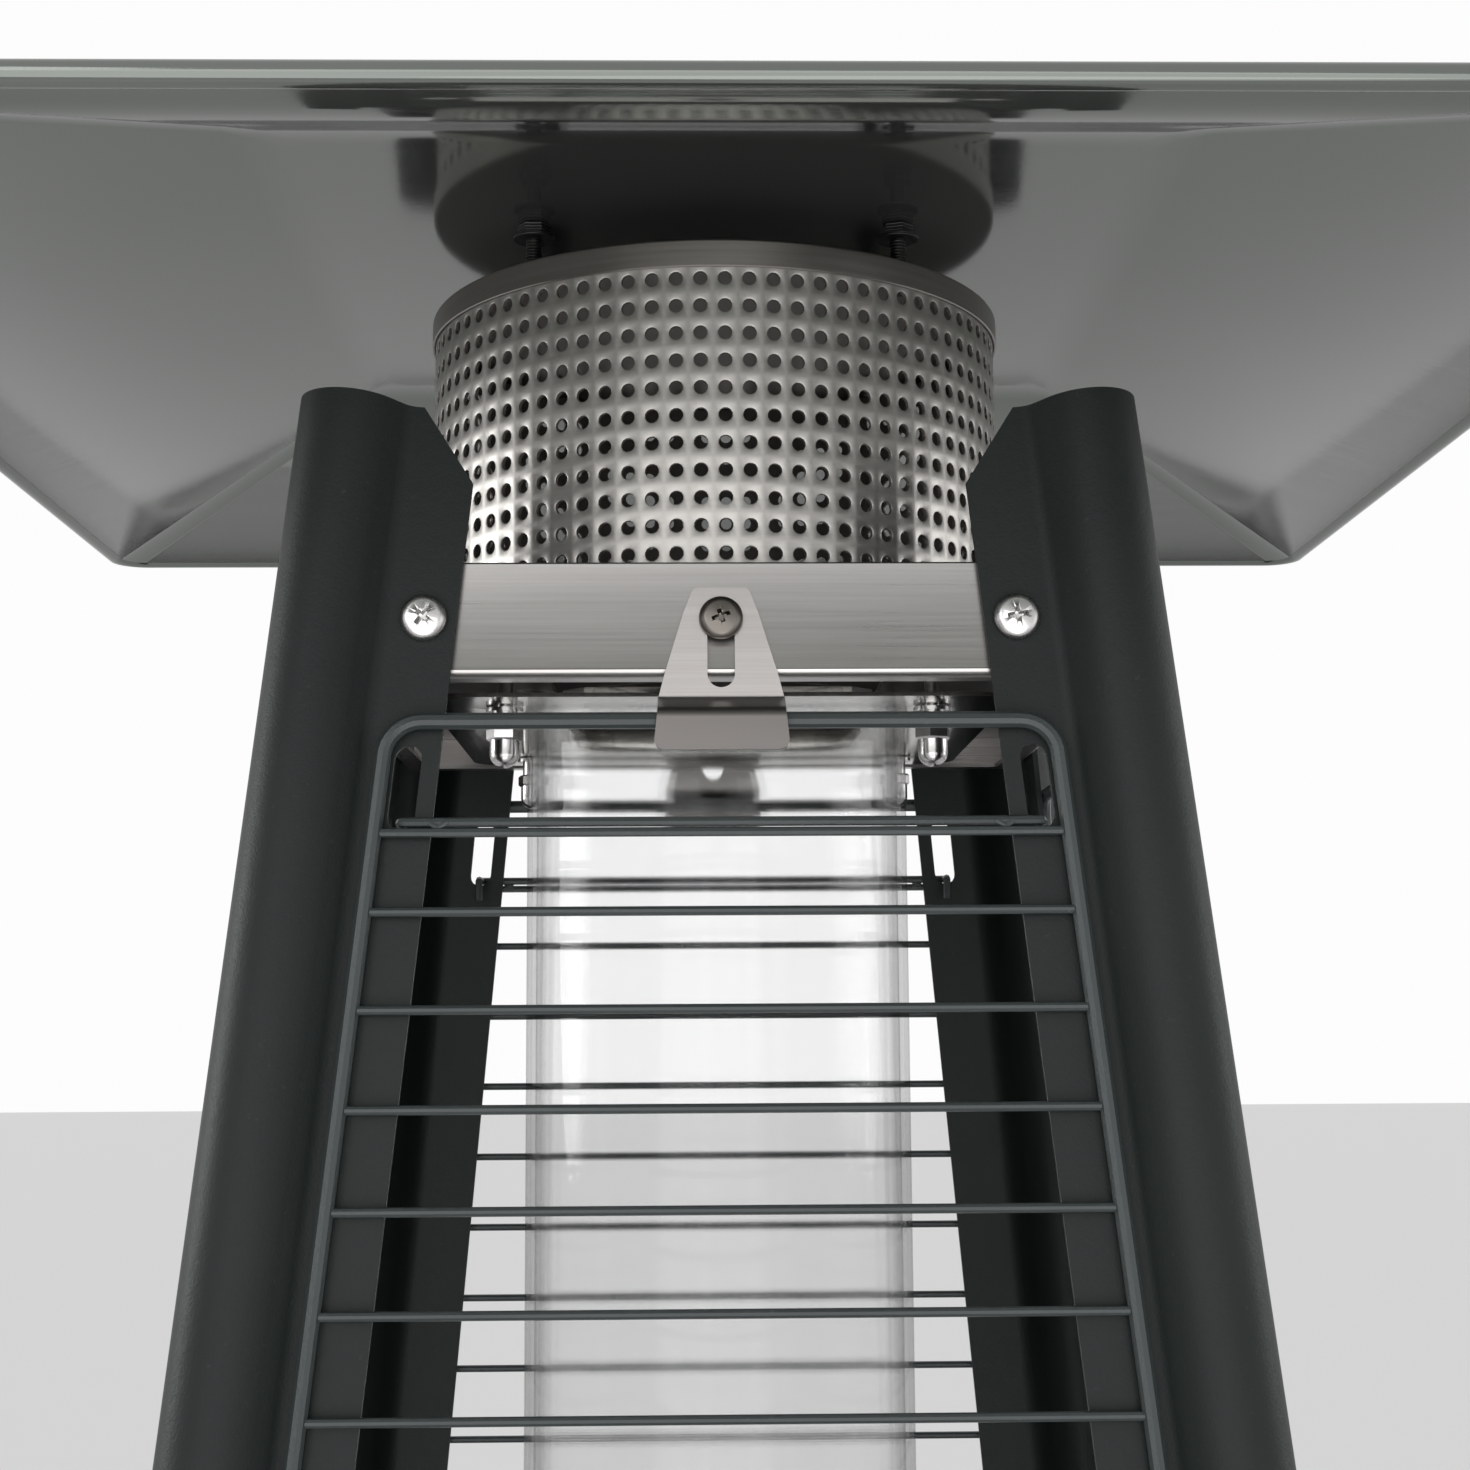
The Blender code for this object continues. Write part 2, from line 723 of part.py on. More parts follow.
def make_clamp_studs():
    """Stud, collar, hexagon and dome of each nut that clamps the holder plate, in one piece."""
    plate_low = NECK_HEIGHT - HOLDER_SHEET - GAP
    hex_top = plate_low - CLAMP_COLLAR_LONG
    hex_low = hex_top - CLAMP_HEX_THICK
    dome_low = hex_low - CLAMP_DOME_DROP
    for k, corner in enumerate(CORNERS):
        place = quarter_point(-CLAMP_PLACE, -CLAMP_PLACE, k)
        profile = [(0, SHELF_TOP), (CLAMP_STUD, SHELF_TOP)]
        profile += [(CLAMP_STUD, plate_low), (CLAMP_COLLAR, plate_low), (CLAMP_COLLAR, hex_top)]
        profile += [(CLAMP_HEX, hex_top), (CLAMP_HEX, hex_low), (CLAMP_DOME, hex_low)]
        profile += [(CLAMP_DOME, hex_low - CLAMP_DOME_DROP / 2), (CLAMP_DOME / 2, dome_low), (0, dome_low)]
        stud = add_object(f"clamp_nut_{corner}", turned(profile, 6, place))
        finish(stud, (0.62, 0.61, 0.6), 0.2, 1.0)


def screen_ring(radius, z, steps):
    angles = [2 * math.pi * k / steps for k in range(steps)]
    return [(radius * math.cos(a), radius * math.sin(a), z) for a in angles]


def make_screen():
    """Tube of flat facets with a hole in each at every row, on an outward foot flange."""
    foot = SHELF_TOP + GAP
    wall_foot = foot + SCREEN_WALL
    inner = SCREEN_RADIUS - SCREEN_WALL
    first = NECK_HEIGHT + BOX_HEIGHT - SCREEN_HOLE + SCREEN_FIRST_ROW
    last = SCREEN_TOP - SCREEN_LAST_ROW
    bm = bmesh.new()
    edge_levels = [wall_foot]
    for row in range(SCREEN_ROWS):
        middle = first + (last - first) * row / (SCREEN_ROWS - 1)
        edge_levels += [middle - SCREEN_HOLE / 2, middle + SCREEN_HOLE / 2]
    edge_levels.append(SCREEN_TOP)
    width = SCREEN_HOLE / 2 / (SCREEN_RADIUS * math.sin(math.pi / SCREEN_FACETS))

    def post_points(radius, z):
        """Per facet: its start corner and the two edges of its hole column."""
        points = []
        ring = screen_ring(radius, z, SCREEN_FACETS)
        for k in range(SCREEN_FACETS):
            a, b = Vector(ring[k]), Vector(ring[(k + 1) % SCREEN_FACETS])
            middle = (a + b) / 2
            points.append((a, middle + (a - middle) * width, middle + (b - middle) * width))
        return points

    layers = []
    for radius in (SCREEN_RADIUS, inner):
        corners = {}
        for level, z in enumerate(edge_levels):
            for k, (corner, left, right) in enumerate(post_points(radius, z)):
                corners[level, k, "corner"] = corner
                corners[level, k, "left"] = left
                corners[level, k, "right"] = right
        layers.append(corners)
    verts = [{}, {}]

    def vert(layer, key):
        if key not in verts[layer]:
            verts[layer][key] = bm.verts.new(layers[layer][key])
        return verts[layer][key]

    levels = len(edge_levels)
    for layer in (0, 1):
        for k in range(SCREEN_FACETS):
            after = (k + 1) % SCREEN_FACETS
            inner_levels = range(1, levels - 1)
            left_strip = [vert(layer, (0, k, "corner")), vert(layer, (levels - 1, k, "corner"))]
            left_strip += [vert(layer, (level, k, "left")) for level in reversed(inner_levels)]
            bm.faces.new(left_strip)
            right_strip = [vert(layer, (0, after, "corner")), vert(layer, (levels - 1, after, "corner"))]
            right_strip += [vert(layer, (level, k, "right")) for level in reversed(inner_levels)]
            bm.faces.new(right_strip)
            low_patch = [vert(layer, (0, k, "corner")), vert(layer, (0, after, "corner"))]
            bm.faces.new(low_patch + [vert(layer, (1, k, "right")), vert(layer, (1, k, "left"))])
            high_patch = [vert(layer, (levels - 1, k, "corner")), vert(layer, (levels - 1, after, "corner"))]
            high_patch += [vert(layer, (levels - 2, k, "right")), vert(layer, (levels - 2, k, "left"))]
            bm.faces.new(high_patch)
            for level in range(2, levels - 2, 2):
                low_pair = [vert(layer, (level, k, "left")), vert(layer, (level, k, "right"))]
                high_pair = [vert(layer, (level + 1, k, "right")), vert(layer, (level + 1, k, "left"))]
                bm.faces.new(low_pair + high_pair)
    for k in range(SCREEN_FACETS):
        for level in range(1, levels - 1, 2):
            hole = [(level, k, "left"), (level, k, "right"), (level + 1, k, "right"), (level + 1, k, "left")]
            for a, b in zip(hole, hole[1:] + hole[:1]):
                bm.faces.new((vert(0, a), vert(0, b), vert(1, b), vert(1, a)))
    flange = [bm.verts.new(p) for p in screen_ring(SCREEN_FLANGE, wall_foot, SCREEN_FACETS)]
    under = [bm.verts.new(p) for p in screen_ring(SCREEN_FLANGE, foot, SCREEN_FACETS)]
    under_in = [bm.verts.new(p) for p in screen_ring(inner, foot, SCREEN_FACETS)]
    for k in range(SCREEN_FACETS):
        after = (k + 1) % SCREEN_FACETS
        top = [vert(side, (levels - 1, place, "corner")) for side, place in ((0, k), (0, after), (1, after), (1, k))]
        bm.faces.new(top)
        wall = [vert(0, (0, k, "corner")), vert(0, (0, after, "corner"))]
        bm.faces.new(wall + [flange[after], flange[k]])
        bm.faces.new((flange[k], flange[after], under[after], under[k]))
        bm.faces.new((under[k], under[after], under_in[after], under_in[k]))
        bore = [vert(1, (0, k, "corner")), vert(1, (0, after, "corner"))]
        bm.faces.new(bore + [under_in[after], under_in[k]])
    screen = add_object("outlet_screen", bm)
    finish(screen, STEEL_GREY, 0.38, 1.0)


def make_lid():
    """Shallow lid that laps over the top of the screen."""
    inner = SCREEN_RADIUS + GAP
    outer = inner + LID_WALL
    under = SCREEN_TOP + GAP
    profile = [(0, under + LID_WALL), (outer, under + LID_WALL), (outer, SCREEN_TOP - LID_SKIRT)]
    profile += [(inner, SCREEN_TOP - LID_SKIRT), (inner, under), (0, under)]
    lid = add_object("screen_lid", turned(profile, SCREEN_FACETS))
    for k in range(4):
        place = quarter_point(-STUD_PLACE, -STUD_PLACE, k)
        hole = disc_profile(STUD_RADIUS + GAP, under - OVERRUN, under + LID_WALL + OVERRUN)
        carve(lid, add_object(f"lid_stud_cut_{k}", turned(hole, 6, place)))
    finish(lid, STEEL_GREY, 0.4, 1.0)


# Reflector


def make_reflector():
    """Square tray, open downwards: flat middle, four sloping skirts and a rolled bead."""
    under = REFLECTOR_FLAT - REFLECTOR_SHEET
    rim_in = REFLECTOR_HALF - 2 * BEAD_RADIUS
    rows = [
        (REFLECTOR_FLAT_HALF, REFLECTOR_FOLD_CORNER, under),
        (rim_in, REFLECTOR_CORNER - BEAD_RADIUS, REFLECTOR_RIM + BEAD_RADIUS),
        (rim_in + BEAD_RADIUS / 2, REFLECTOR_CORNER - BEAD_RADIUS, REFLECTOR_RIM),
        (REFLECTOR_HALF - BEAD_RADIUS / 2, REFLECTOR_CORNER, REFLECTOR_RIM),
        (REFLECTOR_HALF, REFLECTOR_CORNER, REFLECTOR_RIM + BEAD_RADIUS / 2),
        (REFLECTOR_HALF, REFLECTOR_CORNER, REFLECTOR_RIM + 3 * BEAD_RADIUS / 2),
        (REFLECTOR_HALF - BEAD_RADIUS, REFLECTOR_CORNER, REFLECTOR_RIM + 2 * BEAD_RADIUS),
        (rim_in, REFLECTOR_CORNER, REFLECTOR_RIM + BEAD_RADIUS + REFLECTOR_SHEET),
        (REFLECTOR_FLAT_HALF, REFLECTOR_FOLD_CORNER, REFLECTOR_FLAT),
    ]
    rings = [[(x, y, z) for x, y in rounded_square(half, corner, 3)] for half, corner, z in rows]
    reflector = add_object("reflector", loft(rings))
    for k in range(4):
        place = quarter_point(-STUD_PLACE, -STUD_PLACE, k)
        hole = disc_profile(STUD_RADIUS + GAP, under - OVERRUN, REFLECTOR_FLAT + OVERRUN)
        carve(reflector, add_object(f"reflector_stud_cut_{k}", turned(hole, 6, place)))
    finish(reflector, (0.60, 0.62, 0.60), 0.16, 1.0)


def make_reflector_studs():
    """Studs from the lid to the reflector: a nut stands on the lid and another carries the reflector."""
    carry = REFLECTOR_FLAT - REFLECTOR_SHEET - GAP
    tip = REFLECTOR_FLAT + STUD_ABOVE - NUT_CEILING - GAP
    for k, corner in enumerate(CORNERS):
        place = quarter_point(-STUD_PLACE, -STUD_PLACE, k)
        profile = [(0, SCREEN_TOP - STUD_NUT_THICK), (STUD_RADIUS, SCREEN_TOP - STUD_NUT_THICK)]
        profile += [(STUD_RADIUS, LID_TOP + GAP), (STUD_NUT, LID_TOP + GAP)]
        profile += [(STUD_NUT, LID_TOP + STUD_NUT_THICK), (STUD_RADIUS, LID_TOP + STUD_NUT_THICK)]
        profile += [(STUD_RADIUS, carry - STUD_NUT_THICK), (STUD_NUT, carry - STUD_NUT_THICK)]
        profile += [(STUD_NUT, carry), (STUD_RADIUS, carry), (STUD_RADIUS, tip), (0, tip)]
        stud = add_object(f"reflector_stud_{corner}", turned(profile, 6, place))
        finish(stud, (0.45, 0.45, 0.45), 0.35, 1.0)
        seat = REFLECTOR_FLAT + GAP
        crown = REFLECTOR_FLAT + STUD_ABOVE
        inside = STUD_RADIUS + GAP
        nut = [(0, crown + REFLECTOR_NUT_DOME), (STUD_NUT / 2, crown + REFLECTOR_NUT_DOME)]
        nut += [(STUD_NUT, crown), (STUD_NUT, seat), (inside, seat), (inside, tip + GAP), (0, tip + GAP)]
        cap = add_object(f"reflector_nut_{corner}", turned(nut, 6, place))
        finish(cap, (0.62, 0.61, 0.6), 0.2, 1.0)


# Latches


def latch_rows():
    """Height above the neck's lower edge, distance of the back from the face, and half width."""
    back = GAP
    tab = flange_out(0) - face(0) + GAP + WIRE + GAP
    return [
        (LATCH_TOP, back, LATCH_TOP_HALF),
        (0, back, LATCH_WAIST_HALF),
        (LATCH_LOW, back, LATCH_LOW_HALF),
        (LATCH_LOW - LATCH_STEP, tab, LATCH_LOW_HALF),
        (LATCH_LOW - LATCH_STEP - LATCH_TAB + LATCH_TAB_CORNER, tab, LATCH_TAB_HALF),
        (LATCH_LOW - LATCH_STEP - LATCH_TAB, tab, LATCH_TAB_HALF - LATCH_TAB_CORNER),
    ]


def make_latches():
    rings = []
    for rise, out, half in latch_rows():
        z = NECK_HEIGHT + rise
        back = -(face(z) + out)
        rings.append([(-half, back, z), (half, back, z), (half, back - LATCH_SHEET, z), (-half, back - LATCH_SHEET, z)])
    latch = add_object("latch", loft(rings))
    slot = []
    for y in (-(FACE_HALF + BOX_HEIGHT), -(FACE_HALF - BOX_HEIGHT)):
        ring = []
        for z_end, start in ((LATCH_SLOT_HIGH, 0), (LATCH_SLOT_LOW, math.pi)):
            middle = NECK_HEIGHT + z_end - math.copysign(LATCH_SLOT_WIDTH / 2, z_end)
            for step in range(5):
                angle = start + math.pi * step / 4
                reach = LATCH_SLOT_WIDTH / 2
                ring.append((reach * math.cos(angle), y, middle + reach * math.sin(angle)))
        slot.append(ring)
    carve(latch, add_object("latch_slot_cut", loft(slot)))
    settle(latch)
    recentre(latch, (0, -face(NECK_HEIGHT), NECK_HEIGHT))
    quarter_copies("latch", latch, SIDES, STEEL_GREY, 0.34, 1.0)


def make_latch_screws():
    z = NECK_HEIGHT + LATCH_SCREW_RISE
    seat = 2 * GAP + LATCH_SHEET
    profile = [(0, seat + SCREW_HEAD_THICK), (SCREW_HEAD - 2 * SCREW_CORNER, seat + SCREW_HEAD_THICK)]
    profile += [(SCREW_HEAD, seat + SCREW_HEAD_THICK - SCREW_CORNER), (SCREW_HEAD, seat)]
    profile += [(SCREW_SHANK, seat), (SCREW_SHANK, seat - SCREW_LENGTH), (0, seat - SCREW_LENGTH)]
    bm = along_face_normal(turned(profile, 8), 0, z, face(z))
    screw = add_object("latch_screw", bm)
    recentre(screw, (0, -face(z), z))
    quarter_copies("latch_screw", screw, SIDES, (0.16, 0.15, 0.14), 0.35, 1.0)


# Glass tube, seat, deck and burner


def make_glass():
    inner = TUBE_RADIUS - TUBE_WALL
    low = DECK_HEIGHT + GAP + SEAT_STEP + GAP
    tube = [(TUBE_RADIUS, low), (TUBE_RADIUS, TUBE_TOP), (inner, TUBE_TOP), (inner, low)]
    finish(add_object("glass_tube", turned(tube, 24)), (0.92, 0.95, 0.94), 0.03, 0.0, 0.25)
    foot = DECK_HEIGHT + GAP
    outer = TUBE_RADIUS + GAP + SEAT_RIM
    seat = [(SEAT_BORE, foot), (outer, foot), (outer, foot + SEAT_HEIGHT), (TUBE_RADIUS + GAP, foot + SEAT_HEIGHT)]
    seat += [(TUBE_RADIUS + GAP, foot + SEAT_STEP), (SEAT_BORE, foot + SEAT_STEP)]
    finish(add_object("glass_seat", turned(seat, 24)), (0.25, 0.25, 0.25), 0.7, 0.0)


def make_deck():
    """Folded tray between the posts that carries the glass and the burner."""
    top, low = DECK_HEIGHT, DECK_HEIGHT - DECK_LIP

    def ring(half, z):
        return [(x, y, z) for x, y in ((-half, -half), (half, -half), (half, half), (-half, half))]

    rings = [
        ring(face(top) - DECK_SHEET, top - DECK_SHEET),
        ring(face(low) - DECK_SHEET, low),
        ring(face(low), low),
        ring(face(top), top),
    ]
    deck = add_object("burner_deck", loft(rings))
    bore = disc_profile(BURNER_THROAT + GAP, top - DECK_SHEET - OVERRUN, top + OVERRUN)
    carve(deck, add_object("deck_throat_cut", turned(bore, 16)))
    finish(deck, CHARCOAL, 0.45, 0.0)


def make_burner():
    """Hollow burner head with slots round its side, open at the throat that comes up through the deck."""
    foot = DECK_HEIGHT + GAP
    shoulder = foot + BURNER_HEIGHT - BURNER_DOME
    crown = foot + BURNER_HEIGHT
    wall = BURNER_WALL
    throat_low = foot - BURNER_THROAT_DROP
    throat_in = BURNER_THROAT - wall
    profile = [(0, crown), (BURNER_RADIUS * 2 / 3, crown - BURNER_DOME / 4), (BURNER_RADIUS, shoulder)]
    profile += [(BURNER_RADIUS, foot + BURNER_FLANGE_THICK), (BURNER_FLANGE, foot + BURNER_FLANGE_THICK)]
    profile += [(BURNER_FLANGE, foot), (BURNER_THROAT, foot), (BURNER_THROAT, throat_low), (throat_in, throat_low)]
    profile += [(throat_in, foot + BURNER_FLANGE_THICK), (BURNER_RADIUS - wall, foot + BURNER_FLANGE_THICK)]
    profile += [(BURNER_RADIUS - wall, shoulder - wall), (0, crown - BURNER_DOME / 2)]
    burner = add_object("burner_head", turned(profile, 16))
    for k in range(BURNER_SLOTS // 2):
        low = (-BURNER_FLANGE, -BURNER_SLOT / 2, foot + BURNER_HEIGHT / 3)
        high = (BURNER_FLANGE, BURNER_SLOT / 2, shoulder - BURNER_SLOT)
        cutter = add_object(f"burner_slot_cut_{k}", box(low, high))
        cutter.rotation_euler = (0, 0, math.pi * k / (BURNER_SLOTS // 2))
        carve(burner, cutter)
    finish(burner, (0.42, 0.40, 0.38), 0.45, 1.0)


def make_pilot():
    """Folded bracket beside the burner head with the spark rod that bends over it."""
    foot = DECK_HEIGHT + 2 * GAP + BURNER_FLANGE_THICK
    x = PILOT_PLACE
    outline = [(x - PILOT_THICK, foot), (x + PILOT_ARM, foot), (x + PILOT_ARM, foot + PILOT_THICK)]
    outline += [(x, foot + PILOT_THICK), (x, foot + PILOT_HEIGHT), (x - PILOT_THICK, foot + PILOT_HEIGHT)]
    rings = [[(px, y, pz) for px, pz in outline] for y in (-PILOT_WIDTH / 2, PILOT_WIDTH / 2)]
    pilot = add_object("pilot_bracket", loft(rings))
    rod_low = foot + PILOT_HEIGHT - PILOT_ARM
    rod = turned(disc_profile(PILOT_ROD, rod_low, foot + PILOT_ROD_HIGH), 8, (x - PILOT_THICK / 2, 0))
    carve(pilot, add_object("spark_rod", rod), "UNION")
    finish(pilot, (0.55, 0.53, 0.50), 0.4, 1.0)


# Lower cabinet


def panel_rings(low, high, half_at, out_at, sheet):
    rings = []
    for z in (low, high):
        half, out = half_at(z), out_at(z)
        rings.append([(-half, -out, z), (half, -out, z), (half, -out + sheet, z), (-half, -out + sheet, z)])
    return rings


def lapped_half(z):
    """Panels reach behind the flanges, short of the corner."""
    return opening(z) + PANEL_LAP


def make_panels():
    """Left, right and rear panels, each with a lip folded inwards at its foot."""
    low, high = BASE_TOP + PANEL_FOOT, DECK_HEIGHT - DECK_LIP - GAP
    for k, side in enumerate(SIDES):
        if side == "front":
            continue
        rings = panel_rings(low, high, lapped_half, face, PANEL_SHEET)
        panel = add_object(f"panel_{side}", loft(rings))
        half = lapped_half(low)
        lip = box((-half, -face(low), low), (half, -face(low) + PANEL_LIP, low + PANEL_SHEET))
        carve(panel, add_object(f"panel_lip_{side}", lip), "UNION")
        settle(panel)
        panel.rotation_euler = (0, 0, k * QUARTER)
        finish(panel, CHARCOAL, 0.45, 0.0)


def control_height():
    return DECK_HEIGHT - DECK_LIP - KNOB_DROP


def make_control_panel():
    low, high = DOOR_TOP + CONTROL_GAP, DECK_HEIGHT - DECK_LIP - GAP
    rings = panel_rings(low, high, lapped_half, face, PANEL_SHEET)
    panel = add_object("control_panel", loft(rings))
    z = control_height()
    holes = (("stem_cut", KNOB_SIDE, STEM_HOLE), ("button_cut", BUTTON_SIDE, BUTTON_HOLE))
    for name, x, radius in holes:
        bore = turned(disc_profile(radius, -OVERRUN, OVERRUN), 16)
        carve(panel, add_object(name, along_face_normal(bore, x, z, face(z))))
    finish(panel, CHARCOAL, 0.45, 0.0)


def make_controls():
    z = control_height()
    out = face(z)
    stem_back = -(PANEL_SHEET + VALVE_BACK + STEM_GRIP)
    stem = disc_profile(STEM_RADIUS, stem_back, KNOB_STAND + KNOB_BORE_DEPTH - GAP)
    piece = add_object("valve_stem", along_face_normal(turned(stem, 16), KNOB_SIDE, z, out))
    recentre(piece, (KNOB_SIDE, -out, z))
    finish(piece, (0.5, 0.5, 0.48), 0.35, 1.0)
    make_knob(z, out)
    make_button(z, out)
    make_valve(z, out)


def make_knob(z, out):
    """Knob with a wide skirt and a fluted grip, bored from behind for the stem."""
    bm = bmesh.new()
    rings = []
    sides = 2 * KNOB_FLUTES
    back, front = KNOB_STAND, KNOB_STAND + KNOB_DEPTH
    bore = STEM_RADIUS + STEM_CLEAR
    rows = [(bore, back + KNOB_BORE_DEPTH, 0), (bore, back, 0), (KNOB_RADIUS, back, 0)]
    rows += [(KNOB_RADIUS, back + KNOB_SKIRT / 2, 0), (KNOB_GRIP + KNOB_FLUTE, back + KNOB_SKIRT, 0)]
    rows += [(KNOB_GRIP, back + KNOB_SKIRT, KNOB_FLUTE), (KNOB_GRIP, front - KNOB_FLUTE, KNOB_FLUTE)]
    rows += [(KNOB_GRIP - 2 * KNOB_FLUTE, front, 0)]
    for radius, height, flute in rows:
        ring = []
        for k in range(sides):
            angle = 2 * math.pi * k / sides
            reach = radius - flute * (k % 2)
            ring.append(bm.verts.new((reach * math.cos(angle), reach * math.sin(angle), height)))
        rings.append(ring)
    bm.faces.new(rings[0])
    bm.faces.new(rings[-1])
    for low, high in zip(rings, rings[1:]):
        for k in range(sides):
            after = (k + 1) % sides
            bm.faces.new((low[k], low[after], high[after], high[k]))
    knob = add_object("control_knob", along_face_normal(bm, KNOB_SIDE, z, out))
    recentre(knob, (KNOB_SIDE, -out, z))
    finish(knob, (0.02, 0.02, 0.02), 0.4, 0.0)


def make_button(z, out):
    head = BUTTON_STAND
    back = head - BUTTON_STEM
    collar = -(PANEL_SHEET + GAP)
    profile = [(0, head), (BUTTON_RADIUS - BUTTON_HEAD / 3, head), (BUTTON_RADIUS, head - BUTTON_HEAD / 3)]
    profile += [(BUTTON_RADIUS, collar), (BUTTON_COLLAR, collar), (BUTTON_COLLAR, collar - BUTTON_COLLAR_THICK)]
    profile += [(BUTTON_RADIUS, collar - BUTTON_COLLAR_THICK), (BUTTON_RADIUS, back), (0, back)]
    button = add_object("igniter_button", along_face_normal(turned(profile, 16), BUTTON_SIDE, z, out))
    recentre(button, (BUTTON_SIDE, -out, z))
    finish(button, (0.35, 0.02, 0.02), 0.4, 0.0)
    mouth = -(PANEL_SHEET + GAP)
    bore = BUTTON_COLLAR + GAP
    end = mouth - BARREL_DEPTH
    outline = [(0, end), (BARREL_RADIUS, end), (BARREL_RADIUS, mouth), (bore, mouth)]
    outline += [(bore, end + BARREL_WALL), (0, end + BARREL_WALL)]
    barrel = add_object("igniter_barrel", along_face_normal(turned(outline, 16), BUTTON_SIDE, z, out))
    finish(barrel, (0.02, 0.02, 0.02), 0.5, 0.0)


def make_valve(z, out):
    """Valve block with a neck that seats behind the panel, a bore for the stem and an inlet spigot below."""
    front = PANEL_SHEET + VALVE_BACK
    low = (KNOB_SIDE - VALVE_HALF, -out + front, z - VALVE_HALF)
    high = (KNOB_SIDE + VALVE_HALF, -out + front + VALVE_DEPTH, z + VALVE_HALF)
    valve = add_object("gas_valve", box(low, high))
    middle = (KNOB_SIDE, -out + front + VALVE_DEPTH / 2)
    inlet = disc_profile(VALVE_PORT, low[2] - VALVE_PORT_LONG, low[2] + OVERRUN)
    carve(valve, add_object("valve_inlet", turned(inlet, 12, middle)), "UNION")
    neck = disc_profile(VALVE_NECK, -(front + OVERRUN), -(PANEL_SHEET + GAP))
    carve(valve, add_object("valve_neck", along_face_normal(turned(neck, 16), KNOB_SIDE, z, out)), "UNION")
    bore = disc_profile(STEM_RADIUS + STEM_CLEAR, -(front + STEM_GRIP + STEM_TRAVEL + OVERRUN), OVERRUN)
    carve(valve, add_object("valve_bore", along_face_normal(turned(bore, 16), KNOB_SIDE, z, out)))
    finish(valve, (0.62, 0.5, 0.25), 0.4, 1.0)
    make_pipe(middle, high[2] + GAP)


def make_pipe(start, low):
    """Rigid gas pipe that rises from the valve, turns under the deck and ends under the burner throat."""
    turn_height = DECK_HEIGHT - BURNER_THROAT_DROP - PIPE_RADIUS - PIPE_BEND / 2
    first = Vector((start[0], start[1], 0))
    flat = Vector((-start[0], -start[1], 0))
    run = flat.length
    flat.normalize()
    path = [(0, low)]
    for step in range(PIPE_BEND_STEPS + 1):
        angle = QUARTER * step / PIPE_BEND_STEPS
        path.append((PIPE_BEND * (1 - math.cos(angle)), turn_height - PIPE_BEND * (1 - math.sin(angle))))
    for step in range(PIPE_BEND_STEPS + 1):
        angle = QUARTER * step / PIPE_BEND_STEPS
        path.append((run - PIPE_BEND / 2 * (1 - math.sin(angle)), turn_height + PIPE_BEND / 2 * (1 - math.cos(angle))))
    path.append((run, DECK_HEIGHT - BURNER_THROAT_DROP + PIPE_BEND / 3))
    curve = bpy.data.curves.new("gas_pipe", "CURVE")
    curve.dimensions = "3D"
    curve.bevel_depth = PIPE_RADIUS
    curve.bevel_resolution = 2
    curve.use_fill_caps = True
    spline = curve.splines.new("POLY")
    spline.points.add(len(path) - 1)
    for point, (reach, z) in zip(spline.points, path):
        place = first + flat * reach
        point.co = (place.x, place.y, z, 1)
    pipe = bpy.data.objects.new("gas_pipe", curve)
    bpy.context.scene.collection.objects.link(pipe)
    finish(pipe, (0.5, 0.5, 0.5), 0.4, 1.0)


# Door


def door_axis(z):
    """The hinge line: parallel to the left edge of the opening, inside the door's thickness."""
    x = -(opening(z) - DOOR_GAP - PIN_INSET)
    y = -(flange_out(z) - DOOR_DEPTH / 2)
    return Vector((x, y, z))


def make_door():
    """Folded door in the front opening, hollow behind, with a solid block for the hinge pins at each end."""
    low, high = BASE_TOP + DOOR_FOOT, DOOR_TOP

    def door_half(z):
        return opening(z) - DOOR_GAP

    door = add_object("tank_door", loft(panel_rings(low, high, door_half, flange_out, DOOR_DEPTH)))
    pocket_low, pocket_high = low + PIN_LENGTH + PIN_HEAD, high - PIN_LENGTH - PIN_HEAD
    pocket = panel_rings(
        pocket_low,
        pocket_high,
        lambda z: door_half(z) - DOOR_SHEET,
        lambda z: flange_out(z) - DOOR_SHEET,
        DOOR_DEPTH,
    )
    carve(door, add_object("door_pocket", loft(pocket)))
    for name, start, end in (("low", low - OVERRUN, low + PIN_LENGTH), ("high", high - PIN_LENGTH, high + OVERRUN)):
        carve(door, add_object(f"door_pin_cut_{name}", hinge_rod(start, end, PIN_RADIUS + PIN_CLEAR)))
    settle(door)
    recentre(door, door_axis(low))
    finish(door, CHARCOAL, 0.45, 0.0)
    make_pins(low, high)
    make_handle()


def hinge_ring(z, radius, level):
    """A circle round the hinge line, square to it or cut off level at this height."""
    along = (door_axis(NECK_HEIGHT) - door_axis(0)).normalized()
    across = along.orthogonal().normalized()
    beside = along.cross(across)
    ring = []
    for k in range(16):
        angle = math.pi * k / 8
        point = door_axis(z) + radius * (math.cos(angle) * across + math.sin(angle) * beside)
        if level:
            point += along * ((z - point.z) / along.z)
        ring.append(tuple(point))
    return ring


def hinge_rod(low, high, radius, level_low=False, level_high=False):
    return loft([hinge_ring(low, radius, level_low), hinge_ring(high, radius, level_high)])


